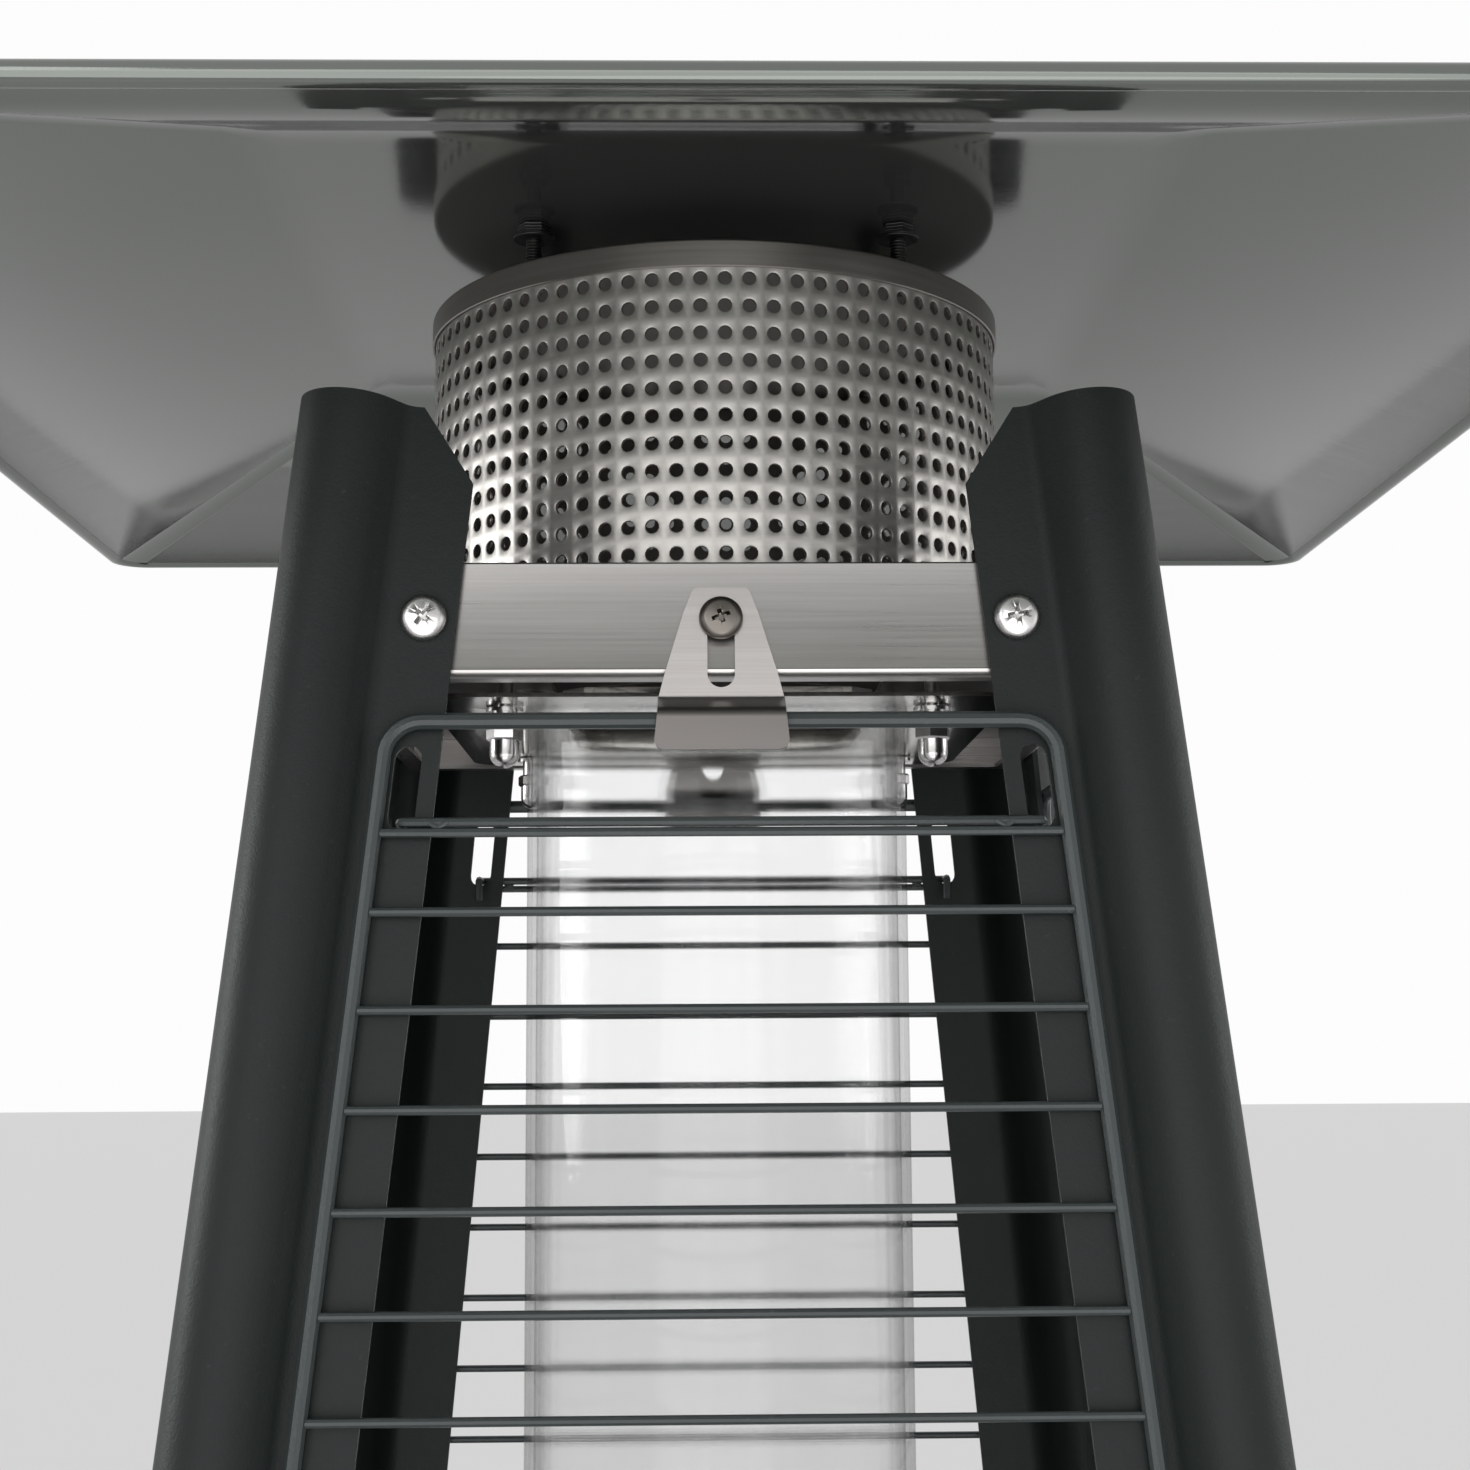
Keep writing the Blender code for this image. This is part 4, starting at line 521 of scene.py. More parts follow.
def curve_body(loops, closed, **settings):
    """The mesh of a curve through loops or paths of points, its doubled points merged."""
    curve = bpy.data.curves.new("curve", "CURVE")
    for key, value in settings.items():
        setattr(curve, key, value)
    for points in loops:
        spline = curve.splines.new("POLY")
        spline.points.add(len(points) - 1)
        spline.use_cyclic_u = closed
        for place, point in zip(spline.points, points):
            place.co = (*point, 1)
    bm = bmesh.new()
    bm.from_mesh(modified(curve))
    bmesh.ops.remove_doubles(bm, verts=bm.verts, dist=1e-6)
    return bm


def wire(points, radius, sides=2, closed=False):
    """A round wire along points."""
    settings = {"dimensions": "3D", "bevel_depth": radius, "bevel_resolution": sides, "use_fill_caps": True}
    bm = curve_body([points], closed, **settings)
    bmesh.ops.recalc_face_normals(bm, faces=bm.faces)
    return mesh_of(bm, 40)


def joined(*meshes):
    """One mesh that holds these, shaded as they were."""
    bm = bmesh.new()
    for mesh in meshes:
        bm.from_mesh(mesh)
    return mesh_of(bm)


def paired(first, second):
    """The two meshes as one, of which the second takes the second finish."""
    both = joined(first, second)
    for polygon in both.polygons:
        polygon.material_index = int(polygon.index >= len(first.polygons))
    return both


def moved(mesh, matrix):
    copy = mesh.copy()
    copy.transform(matrix)
    if matrix.determinant() < 0:
        copy.flip_normals()
    return copy


def quarter(mesh, k):
    return moved(mesh, Matrix.Rotation(k * QUARTER, 4, "Z"))


def corner_place(inset, k):
    """A place on the diagonal of a corner, at this distance from both middle planes."""
    return Matrix.Translation((*quarter_point(-inset, -inset, k), 0))


def facing(x, z, out):
    """Places a body drawn round the vertical on the front face, its axis along the outward normal."""
    return Matrix.Translation((x, -out, z)) @ Matrix.Rotation(QUARTER - TILT, 4, "X")


def piece(node, part, mesh, finish, body="frame"):
    """A finished piece that rides on a body, and stands for a solid if one is named."""
    mesh.materials.clear()
    for material in finish if isinstance(finish, tuple) else (finish,):
        mesh.materials.append(material)
    name = f"{node}_{part}" if node else part
    obj = linked(name, mesh)
    mesh.name = name
    if node:
        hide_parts(node)
    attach(obj, body)


def node_mesh(node, flat=0.2):
    """A copy of a solid's mesh with its points merged and its flat faces whole."""
    bm = bmesh.new()
    bm.from_mesh(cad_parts[node].data)
    bmesh.ops.remove_doubles(bm, verts=bm.verts, dist=1e-6)
    bmesh.ops.dissolve_limit(bm, angle_limit=radians(flat), verts=bm.verts, edges=bm.edges)
    return mesh_of(bm)


def dressed(node, finish, width, body="frame"):
    """A solid with rounded edges under its own name."""
    piece(node, "dressed", rounded(node_mesh(node), width), finish, body)


def hexagon(radius, chamfer, low, high, turn=0.0):
    """A nut's body: six sides with turned chamfers top and bottom."""
    bm = turned([(0, low), (radius * 0.88, low), (radius, low + chamfer), (radius, high - chamfer),
                 (radius * 0.88, high), (0, high)], 6)
    bmesh.ops.rotate(bm, verts=bm.verts, matrix=Matrix.Rotation(turn, 3, "Z"))
    return mesh_of(bm, 25)


def acorn(hex_radius, hex_low, hex_high, dome_end, turn=0.0):
    """Hexagon and dome of a cap nut. The dome points away from the hexagon's far side."""
    way = 1 if dome_end > hex_high else -1
    start = hex_high if way > 0 else hex_low
    dome = hex_radius * 0.80
    length = abs(dome_end - start)
    profile = [(0, start - way * 0.0003), (dome, start - way * 0.0003)]
    for k in range(8):
        angle = QUARTER * k / 8
        profile.append((dome * cos(angle), start + way * (length - dome * 0.9 * (1 - sin(angle)))))
    profile.append((0, dome_end))
    return joined(hexagon(hex_radius, 0.0005, hex_low, hex_high, turn), spun(profile, 24))


def pan_head(radius, height, arm, seat=0.0):
    """A pan head with a crossed recess, its axis upright and its seat at the given height."""
    profile = [(0, seat - 0.0004), (radius * 0.9, seat - 0.0004), (radius * 0.97, seat)]
    profile += [(radius, seat + height * 0.22)]
    for k in range(1, 9):
        angle = QUARTER * k / 9
        out = radius * (0.60 + 0.40 * cos(angle)) if k < 9 else 0
        profile.append((out, seat + height * (0.22 + 0.70 * sin(angle))))
    profile += [(radius * 0.30, seat + height), (0, seat + height)]
    head = spun(profile, 40)
    cutters = []
    top = seat + height * 1.3
    deep = seat + height * 0.35
    for turn, reach in ((0.0, arm * 1.35), (QUARTER, arm)):
        rings = [level(oblong(reach * 0.55, arm * 0.18), deep), level(oblong(reach, arm * 0.30), top)]
        cutters.append(moved(mesh_of(loft(rings)), Matrix.Rotation(turn, 4, "Z")))
    return rounded(cut(head, cutters), 0.0001, 40, 1)


# Geometry trees


def repeater(name, sockets, layout, merge=None):
    """A tree with named inputs that repeats an object.

    The layout gives the count, the place and the turn or scale of each.
    """
    group = bpy.data.node_groups.new(name, "GeometryNodeTree")
    group.interface.new_socket(name="Geometry", in_out="OUTPUT", socket_type="NodeSocketGeometry")
    sockets |= {"Item": "Object", "Finish": "Material"}
    for label, kind in sockets.items():
        group.interface.new_socket(name=label, in_out="INPUT", socket_type="NodeSocket" + kind)
    tree = Tree(group)
    source = group.nodes.new("NodeGroupInput")
    links = {label: Link(tree, source.outputs[label]) for label in sockets}
    count, place, manner = layout(tree, links, tree.node("GeometryNodeInputIndex"))
    points = tree.node("GeometryNodeMeshLine", {"mode": "OFFSET"}, {"Count": count})
    points = tree.node("GeometryNodeSetPosition", None, {"Geometry": points, "Position": place})
    item = tree.node("GeometryNodeObjectInfo", None, {"Object": links["Item"]}, out=4)
    shape = tree.node("GeometryNodeInstanceOnPoints", None, {"Points": points, "Instance": item} | manner)
    shape = tree.node("GeometryNodeRealizeInstances", None, {0: shape})
    if merge:
        shape = tree.node("GeometryNodeMergeByDistance", None, {"Geometry": shape, "Distance": merge})
    shape = tree.node("GeometryNodeSetMaterial", None, {"Geometry": shape, "Material": links["Finish"]})
    sink = group.nodes.new("NodeGroupOutput")
    group.links.new(shape.socket, sink.inputs[0])
    return group


def grown(group, values, sharp):
    """The plain mesh that a geometry tree makes from these inputs."""
    inputs = [item for item in group.interface.items_tree if item.in_out == "INPUT"]
    settings = {"node_group": group} | {item.identifier: values[item.name] for item in inputs}
    return settled(bpy.data.meshes.new("grown"), ("NODES", settings), sharp=sharp)


def template(mesh):
    """An object that a tree repeats, kept out of the scene."""
    return bpy.data.objects.new("template", mesh)


def perforation(tree, links, index):
    """Tiles round an upright tube in level rows."""
    row = (index / links["Columns"]).floor()
    angle = (index - row * links["Columns"]) * (2 * pi) / links["Columns"] + links["Phase"]
    height = links["Top"] - row * links["Pitch"]
    place = tree.vector(angle.cos() * links["Radius"], angle.sin() * links["Radius"], height)
    return links["Columns"] * links["Rows"], place, {"Rotation": tree.turn(angle)}


def ladder(tree, links, index):
    """Crossbars down a leaning face, each longer than the one above."""
    drop = index * links["Pitch"]
    spread = drop * links["Lean"]
    place = tree.vector(0.0, 0 - (links["Plane"] + spread), links["Top"] - drop)
    return links["Count"], place, {"Scale": tree.vector(links["Half"] + spread, 1.0, 1.0)}


def screw_pairs(tree, links, index):
    """Two screws on each of the four faces, every head turned its own way."""
    side = (index / 2).floor()
    sign = (index - side * 2) * 2 - 1
    start = tree.vector(sign * links["Side"], 0 - links["Out"], links["Height"])
    angle = side * QUARTER
    around = {"Vector": start, "Axis": (0, 0, 1), "Angle": angle}
    place = tree.node("ShaderNodeVectorRotate", None, around)
    spin = {"Axis": tuple(OUTWARD), "Angle": index * 2.4 + 0.9}
    spin = tree.node("FunctionNodeAxisAngleToRotation", None, spin)
    both = {0: tree.turn(angle), 1: spin}
    return 8, place, {"Rotation": tree.node("FunctionNodeRotateRotation", {"rotation_space": "LOCAL"}, both)}


# Corner posts


def post_outline():
    """Outer side of the bent sheet, from one flange edge to the other, in the corner's own axes."""
    flat = FACE + GAP + SHEET
    middle = CROWN_OUT - CROWN_RADIUS
    bend = OPENING + FLANGE
    reach = Vector((middle - bend, middle - flat))
    slant = degrees(atan2(reach.y, reach.x) + asin(CROWN_RADIUS / reach.length))
    radius = 0.0045
    drop = radius * tan(radians(slant / 2))
    half = [(OPENING, flat)] + arc((bend - drop, flat + radius), radius, -90, slant - 90, 6)
    crown = arc((middle, middle), CROWN_RADIUS, slant + 90, -slant, 28)
    return half + crown + [(y, x) for x, y in reversed(half)]


def sheet_section(points, thickness):
    """Outer points followed by the inner side of the sheet."""
    inner = []
    for k, point in enumerate(points):
        before = Vector(points[max(k - 1, 0)])
        after = Vector(points[min(k + 1, len(points) - 1)])
        way = (after - before).normalized()
        inner.append(tuple(Vector(point) + Vector((way.y, -way.x)) * thickness))
    return list(points) + list(reversed(inner))


def slot_middle(z):
    return opening(z) + SLOT_INSET


def slot_cutter(low):
    """A round-ended slot through the front left flange."""
    width, height = 0.0061, 0.0190
    rings = []
    for side in (-1, 1):
        ring = []
        for middle, start in ((low + height - width / 2, 0), (low + width / 2, 180)):
            for x, z in arc((0, middle), width / 2, start, start + 180, 8):
                out = -flange_out(z) - 0.004 if side < 0 else -face(z) + 0.004
                ring.append((x - slot_middle(z), out, z))
        rings.append(ring)
    return mesh_of(loft(rings))


GUARD_TOP = NECK - 0.0105
FIRST_BAR = GUARD_TOP - 0.0251
SECOND_BAR = FIRST_BAR - 0.0175
PITCH = 0.0213
BARS = 55
LOWER_HOOK = SECOND_BAR - 52 * PITCH


def make_posts():
    outline = sheet_section(post_outline(), SHEET)
    rings = []
    crown = 2 * (CROWN_OUT - CROWN_RADIUS)
    for z, tilt in ((BASE_TOP + GAP, 0), (0.4, 0), (DECK, 0), (1.4, 0), (1.9, 0), (POST_TOP, SLOPE)):
        heights = [z + tilt * (x + y - crown) for x, y in outline]
        rings.append([(-(x + lean(h)), -(y + lean(h)), h) for (x, y), h in zip(outline, heights)])
    post = mesh_of(loft(rings), 28)
    edge = -opening(POST_TOP)
    outline = [(edge + 0.004, POST_TOP + 0.004), (edge - 0.014, POST_TOP + 0.004), (edge - 0.014, POST_TOP)]
    outline += [(edge, POST_TOP - 0.0225), (edge + 0.004, POST_TOP - 0.0225)]
    chamfer = mesh_of(loft([[(x, y, z) for x, z in outline] for y in (-0.099, -0.082)]))
    cutters = [chamfer, slot_cutter(FIRST_BAR + 0.0008), slot_cutter(LOWER_HOOK + 0.0008)]
    swap = Matrix(((0, 1, 0, 0), (1, 0, 0, 0), (0, 0, 1, 0), (0, 0, 0, 1)))
    cutters += [moved(cutter, swap) for cutter in cutters]
    post = cut(post, cutters)
    for k, corner in enumerate(CORNERS):
        piece("post_" + corner, "sheet", rounded(quarter(post, k), 0.0002, 28, 1), COAT)


def make_flange_screws():
    head = moved(pan_head(0.0054, 0.0030, 0.0021), Matrix.Rotation(QUARTER - TILT, 4, "X"))
    tree = repeater("flange_screws", {"Side": "Float", "Out": "Float", "Height": "Float"}, screw_pairs)
    meshes = []
    small = moved(head, Matrix.Scale(0.8, 4))
    for z, shape, side in ((NECK + 0.0135, head, 0.0671), (DECK - 0.010, small, None), (0.075, small, None)):
        values = {"Item": template(shape), "Side": side or slot_middle(z), "Out": flange_out(z), "Height": z}
        meshes.append(grown(tree, values | {"Finish": SCREW_BRIGHT}, 40))
    piece(None, "flange_screws", joined(*meshes), SCREW_BRIGHT)


# Guards


WIRE = 0.0038
BAR = 0.0021


def guard_plane(z):
    return flange_out(z) + GAP + WIRE / 2


def guard_half(z):
    return 0.0771 + SLOPE * (GUARD_TOP - z) - WIRE / 2


def make_guards():
    low = SECOND_BAR - BARS * PITCH
    corner = 0.0105 - WIRE / 2
    path = []
    for z, start in ((GUARD_TOP, 90), (low, 0)):
        middle = (guard_half(z) - corner, z - corner if start else z + corner)
        path += arc(middle, corner, start, start - 90, 8)
    path += [(-x, z) for x, z in reversed(path)]
    outline = [(x, -guard_plane(z), z) for x, z in path]
    rail = wire(outline, WIRE / 2, 3, True)
    bar = moved(rod(BAR / 2, -1, 1, 10), Matrix.Rotation(QUARTER, 4, "Y"))
    sockets = {"Count": "Int"} | dict.fromkeys(("Pitch", "Top", "Half", "Plane", "Lean"), "Float")
    values = {"Item": template(bar), "Count": BARS, "Pitch": PITCH, "Top": SECOND_BAR, "Lean": SLOPE}
    values |= {"Half": guard_half(SECOND_BAR), "Plane": guard_plane(SECOND_BAR), "Finish": WIRE_COAT}
    bars = grown(repeater("ladder", sockets, ladder), values, 50)
    first = [(side * guard_half(FIRST_BAR), -guard_plane(FIRST_BAR), FIRST_BAR) for side in (-1, 1)]
    parts = [rail, bars, wire(first, BAR / 2)]
    for z in (FIRST_BAR, LOWER_HOOK):
        parts += hook_parts(z)
    whole = joined(*parts)
    for k, side in enumerate(SIDES):
        name = "guard_" + side
        piece(name, "wire", quarter(whole, k), WIRE_COAT, name)


def hook_parts(bar_z):
    """A rod above a crossbar whose ends turn back through the post slots and down, with its crossed welds."""
    z = bar_z + BAR / 2 + 0.0013
    radius = 0.0011
    plane = flange_out(z) + GAP + radius
    reach = slot_middle(z)
    back = face(z) - GAP - SHEET - 0.0020
    half = [(reach - 0.0016, -plane, z), (reach - 0.0004, -plane + 0.0004, z), (reach, -plane + 0.0016, z)]
    half += [(reach, -back - 0.0012, z), (reach, -back - 0.0003, z - 0.0004), (reach, -back, z - 0.0012)]
    half += [(reach, -back, z - 0.0062)]
    path = [(-x, y, h) for x, y, h in reversed(half)] + half
    parts = [wire(path, radius)]
    for side in (-1, 1):
        middle = (side * (reach - 0.0085), -plane - 0.0006, bar_z + 0.0011)
        for turn in (-1, 1):
            ends = [(middle[0] + way * 0.0021, middle[1], middle[2] + way * turn * 0.0013) for way in (-1, 1)]
            parts.append(wire(ends, 0.0007))
    return parts


# Neck box, shelf, holder and studs


def make_neck_box():
    sheet, bend, lip, corner = 0.0012, 0.0022, 0.007, 0.0020
    top = NECK + 0.027
    turn = face(NECK) - bend
    outer = [(face(top) - 0.0003, top), (face(top - 0.0004), top - 0.0004), (face(NECK + bend), NECK + bend)]
    outer += [(turn + out, NECK + bend + z) for out, z in arc((0, 0), bend, -10, -90, 6)]
    outer += [(face(NECK) - lip, NECK)]
    inner = [(face(NECK) - lip, NECK + sheet), (turn, NECK + sheet)]
    inner += [(turn + out, NECK + bend + z) for out, z in arc((0, 0), bend - sheet, -80, -10, 4)]
    inner += [(face(top) - sheet, top)]
    rings = [level(rounded_square(half, corner, 6), z) for half, z in outer]
    rings += [level(rounded_square(half, corner - sheet, 6), z) for half, z in inner]
    wall = mesh_of(loft(rings, capped=False), 40)
    low = NECK + 0.0095
    square = rounded_square(face(low) - sheet - GAP, 0.001, 12)
    angles = [atan2(y, x) for x, y in square]
    hole = [polar(SHELF_HOLE, a) for a in angles]
    rings = [level(hole, low), level(square, low), level(square, low + SHEET), level(hole, low + SHEET)]
    shelf = mesh_of(loft(rings, capped=False), 40)
    piece("neck_box", "sheet", joined(wall, shelf), BOX_STEEL)


def make_holder():
    """Plate with a rolled collar round the tube."""
    sheet, bore, roll = 0.0010, 0.0503, 0.0024
    low, high = NECK - sheet, NECK + 0.006
    square = rounded_square(0.070, 0.010, 12)
    angles = [atan2(y, x) for x, y in square]

    def circle(radius, z):
        return [(*polar(radius, a), z) for a in angles]

    rings = [level(square, low)]
    for a in (0.0, 0.4, 0.8, 1.2, QUARTER):
        rings.append(circle(bore + roll - roll * sin(a), low + roll - roll * cos(a)))
    rings += [circle(bore, high), circle(bore + sheet, high), circle(bore + sheet, NECK + 0.0022)]
    rings += [circle(bore + roll, NECK), level(square, NECK)]
    plate = mesh_of(loft(rings, capped=False), 40)
    piece("glass_holder", "plate", plate, HOLDER_STEEL)


def make_clamp_nuts():
    low = NECK - 0.0013
    for k, corner in enumerate(CORNERS):
        parts = [rod(0.0046, low - 0.0009, low, 28), rod(0.0031, low - 0.0048, low - 0.0008, 24)]
        parts += [acorn(0.0045, low - 0.0079, low - 0.0047, low - 0.0145, 0.3 * k)]
        parts += [rod(0.0019, low - 0.002, NECK + 0.011, 20)]
        place = corner_place(CLAMP_PLACE, k)
        piece("clamp_nut_" + corner, "cap", moved(joined(*parts), place), BRIGHT)


# Outlet screen and lid


def screen_tile(width, height, thick):
    """A flat square tile with a round hole whose rim is pressed in, facing +X."""
    angles = [radians(15 + 30 * k) for k in range(12)]
    reaches = [1 / max(abs(cos(a)), abs(sin(a))) for a in angles]

    def square(x):
        places = zip(angles, reaches)
        return [(x, cos(a) * reach * width / 2, sin(a) * reach * height / 2) for a, reach in places]

    def circle(radius, x):
        return [(x, *polar(radius, a)) for a in angles]

    layers = [square(0), circle(0.00205, 0.0), circle(0.00174, -0.00012), circle(0.00165, -thick)]
    layers += [square(-thick)]
    bm = bmesh.new()
    rows = [[bm.verts.new(point) for point in layer] for layer in layers]
    skinned(bm, rows, closed=False)
    if next(iter(bm.faces)).normal.x < 0:
        bmesh.ops.reverse_faces(bm, faces=bm.faces)
    return mesh_of(bm, 30)


def make_screen():
    radius, wall = 0.0752, 0.0010
    columns, rows, pitch = 80, 11, 0.0067
    top_row = NECK + 0.0995
    high, low, foot = top_row + pitch / 2, top_row - (rows - 0.5) * pitch, NECK + 0.0113
    half_turn = pi / columns
    tile = screen_tile(2 * radius * sin(half_turn), pitch, wall)
    phase = radians(-90 + 1.26)
    values = {"Item": template(tile), "Columns": columns, "Rows": rows, "Pitch": pitch, "Top": top_row}
    values |= {"Radius": radius * cos(half_turn), "Phase": phase, "Finish": SCREEN_STEEL}
    sockets = {"Columns": "Int", "Rows": "Int"} | dict.fromkeys(("Radius", "Pitch", "Top", "Phase"), "Float")
    parts = [grown(repeater("perforation", sockets, perforation, 2e-5), values, 34)]
    upper = [(radius - wall, high), (radius, high), (radius, SCREEN_TOP), (radius - wall, SCREEN_TOP)]
    lower = [(radius, low), (radius - wall, low), (radius - wall, foot), (0.084, foot), (0.084, foot + wall),
             (radius + 0.001, foot + wall), (radius, foot + 0.002)]
    for profile in (upper, lower):
        bm = turned(profile, columns)
        bmesh.ops.rotate(bm, verts=bm.verts, matrix=Matrix.Rotation(phase + half_turn, 3, "Z"))
        parts.append(mesh_of(bm, 40))
    piece("outlet_screen", "sheet", joined(*parts), SCREEN_STEEL)
    skirt = SCREEN_TOP - 0.0058
    profile = [(0, LID_TOP), (0.0748, LID_TOP)] + arc((0.0752, LID_TOP - 0.0008), 0.0008, 90, 0, 4)
    profile += in_mm([(76, 0.2), (75.8, 0), (75.5, 0), (75.5, 6.1), (0, 6.1)], skirt)
    piece("screen_lid", "sheet", spun(profile, 96, 40), LID_STEEL)


# Reflector


def make_reflector():
    rim, sheet = NECK + 0.088, REFLECTOR_SHEET
    half, fold, bead = 0.2150, 0.1086, 0.0026
    slope = (REFLECTOR_TOP - rim) / (half - fold)
    middle = half - bead
    start = middle - bead * 1.2

    def sheet_side(depth):
        """Reach, corner and height from the flat to just past the fold."""
        return [(fold - 0.010, 0.006, REFLECTOR_TOP - depth), (fold - 0.0035, 0.004, REFLECTOR_TOP - depth),
                (fold, 0.004, REFLECTOR_TOP - depth - 0.0006),
                (fold + 0.0035, 0.004, REFLECTOR_TOP - depth - 0.0035 * slope)]

    drop = (start - fold) * slope
    rows = sheet_side(sheet) + [(start, 0.0075, REFLECTOR_TOP - drop - sheet)]
    angles = [radians(200 + 24 * k) for k in range(13)]
    rows += [(middle + bead * cos(a), 0.0100, rim + bead + bead * sin(a)) for a in angles]
    rows += [(start, 0.0080, REFLECTOR_TOP - drop)] + sheet_side(0.0)[::-1]
    rings = [level(rounded_square(reach, corner, 10), z) for reach, corner, z in rows]
    piece("reflector", "sheet", mesh_of(loft(rings), 60), REFLECTOR)


def make_reflector_studs():
    under, top = REFLECTOR_TOP - REFLECTOR_SHEET, REFLECTOR_TOP + GAP
    for k, corner in enumerate(CORNERS):
        place = corner_place(STUD_PLACE, k)
        nuts = [hexagon(0.0042, 0.0004, LID_TOP + GAP, LID_TOP + 0.0033, 0.4 * k)]
        nuts += [hexagon(0.0042, 0.0004, under - 0.0033, under - GAP, 0.7 * k)]
        nuts += [rod(0.0052, under - 0.0042, under - 0.0034, 28)]
        mesh = moved(paired(rod(0.0020, LID_TOP - 0.004, under + 0.006, 20), joined(*nuts)), place)
        piece("reflector_stud_" + corner, "rod", mesh, (ROD, DARK_NUT))
        cap = moved(acorn(0.0040, top, top + 0.0035, top + 0.0095, 0.5 * k), place)
        piece("reflector_nut_" + corner, "cap", cap, BRIGHT)


# Latches


def latch_path():
    """The sheet's back from top to bottom as (height above the neck's edge, distance from the face)."""
    tab, bend = 0.0018 + GAP + WIRE + GAP, 0.0011
    corners = [Vector(c) for c in ((0.0206, GAP), (-0.0057, GAP), (-0.0091, tab), (-0.0176, tab))]
    points = [corners[0]]
    for before, here, after in zip(corners, corners[1:], corners[2:]):
        start = here - (here - before).normalized() * bend
        end = here + (after - here).normalized() * bend
        for t in (k / 6 for k in range(7)):
            points.append((1 - t) ** 2 * start + 2 * t * (1 - t) * here + t * t * end)
    return points + [corners[-1]]


def between(stops, run):
    """The value at a length, from stops of (length, value)."""
    low, high = next(pair for pair in zip(stops, stops[1:]) if run <= pair[1][0] + 1e-7)
    return low[1] + (high[1] - low[1]) * ((run - low[0]) / (high[0] - low[0]))


def make_latches():
    path = latch_path()
    stops = [(0.0, path[0])]
    for before, after in zip(path, path[1:]):
        stops.append((stops[-1][0] + (after - before).length, after))
    total = stops[-1][0]
    knee, low, foot, corner = 0.0206, 0.0263, 0.0150, 0.0020
    half = [(0.0, 0.0067), (knee, 0.0129), (low, 0.0143), (low + 0.006, 0.0143), (total, foot)]
    side = [(0.0052, 0.0), (0.0061, 0.0003), (0.0067, 0.0012)]
    side += [(between(half, run), run) for run in (0.006, knee, low, 0.0322)]
    side += [(foot, total - corner), (foot - corner * 0.3, total - corner * 0.3), (foot - corner, total)]
    slot, reach = [], 0.0031
    for middle, start in ((0.0041 + reach, 180), (0.0233 - reach, 0)):
        slot += arc((0, middle), reach, start, start + 180, 10)
    loops = [level(side + [(-x, s) for x, s in reversed(side)], 0), level(slot, 0)]
    bm = curve_body(loops, True, dimensions="2D", fill_mode="BOTH")
    for run, _ in stops[1:-1]:
        geometry = list(bm.verts) + list(bm.edges) + list(bm.faces)
        bmesh.ops.bisect_plane(bm, geom=geometry, plane_co=(0, run, 0), plane_no=(0, 1, 0), dist=1e-7)
    for vert in bm.verts:
        rise, out = between(stops, vert.co.y)
        vert.co = (vert.co.x, -(face(NECK + rise) + out), NECK + rise)
    bm.normal_update()
    if sum(f.normal.y * f.calc_area() for f in bm.faces) > 0:
        bmesh.ops.reverse_faces(bm, faces=bm.faces)
    sheet = settled(mesh_of(bm), ("SOLIDIFY", {"thickness": 0.0012, "offset": 1.0}))
    latch = rounded(sheet, 0.00022, 40)
    z = NECK + 0.0132
    screw = moved(pan_head(0.0050, 0.0026, 0.0019, 0.0018), facing(0, z, face(z)))
    turn = Matrix.Translation((0, -face(z), z))
    for k, name in enumerate(SIDES):
        piece("latch_" + name, "plate", quarter(latch, k), LATCH_STEEL, "latch_" + name)
        head = moved(screw, turn @ Matrix.Rotation(0.35 + 0.8 * k, 4, OUTWARD) @ turn.inverted())
        piece("latch_screw_" + name, "head", quarter(head, k), SCREW_DARK)


# Glass, seat and burner


def make_glass():
    radius, wall, rim = 0.0500, 0.0025, 0.0011
    low, high = DECK + 0.0066, NECK + 0.0062
    inner = radius - wall
    top, bottom = high - rim, low + rim
    profile = arc((radius - rim, top), rim, 0, 90, 4) + arc((inner + rim, top), rim, 90, 180, 4)
    profile += [(inner, top - MM), (inner, bottom + MM)]
    profile += arc((inner + rim, bottom), rim, 180, 270, 4) + arc((radius - rim, bottom), rim, 270, 360, 4)
    profile += [(radius, bottom + MM), (radius, top - MM)]
    piece("glass_tube", "wall", spun(profile, 128, 60), GLASS)
    seat = [(44, 0), (53.7, 0), (54.3, 0.8), (54.3, 11), (53.5, 12), (50.8, 12), (50.3, 11.5)]
    seat += [(50.3, 6), (44, 6)]
    piece("glass_seat", "ring", spun(in_mm(seat, DECK + GAP), 96, 40), CERAMIC)


def make_burner():
    foot = DECK + GAP
    profile = [(0, 50), (14, 48.8), (22, 46), (27.5, 42), (30, 38), (30, 4), (31, 2.2), (42.5, 2), (43, 1.5)]
    profile += [(43, 0), (12, 0), (12, -30), (10, -30), (10, 2), (28, 2), (28, 36), (20, 42), (0, 44)]
    port = Matrix.Translation((0.030, 0, foot + 0.025))
    turns = [Matrix.Rotation(pi * k / 6, 4, "Z") for k in range(12)]
    ports = [block(turn @ port, (0.012, 0.0026, 0.018)) for turn in turns]
    head = cut(spun(in_mm(profile, foot), 64, 40), ports)
    piece("burner_head", "steel", head, HEAT)
    dressed("pilot_bracket", HEAT, 0.0003)


# Cabinet


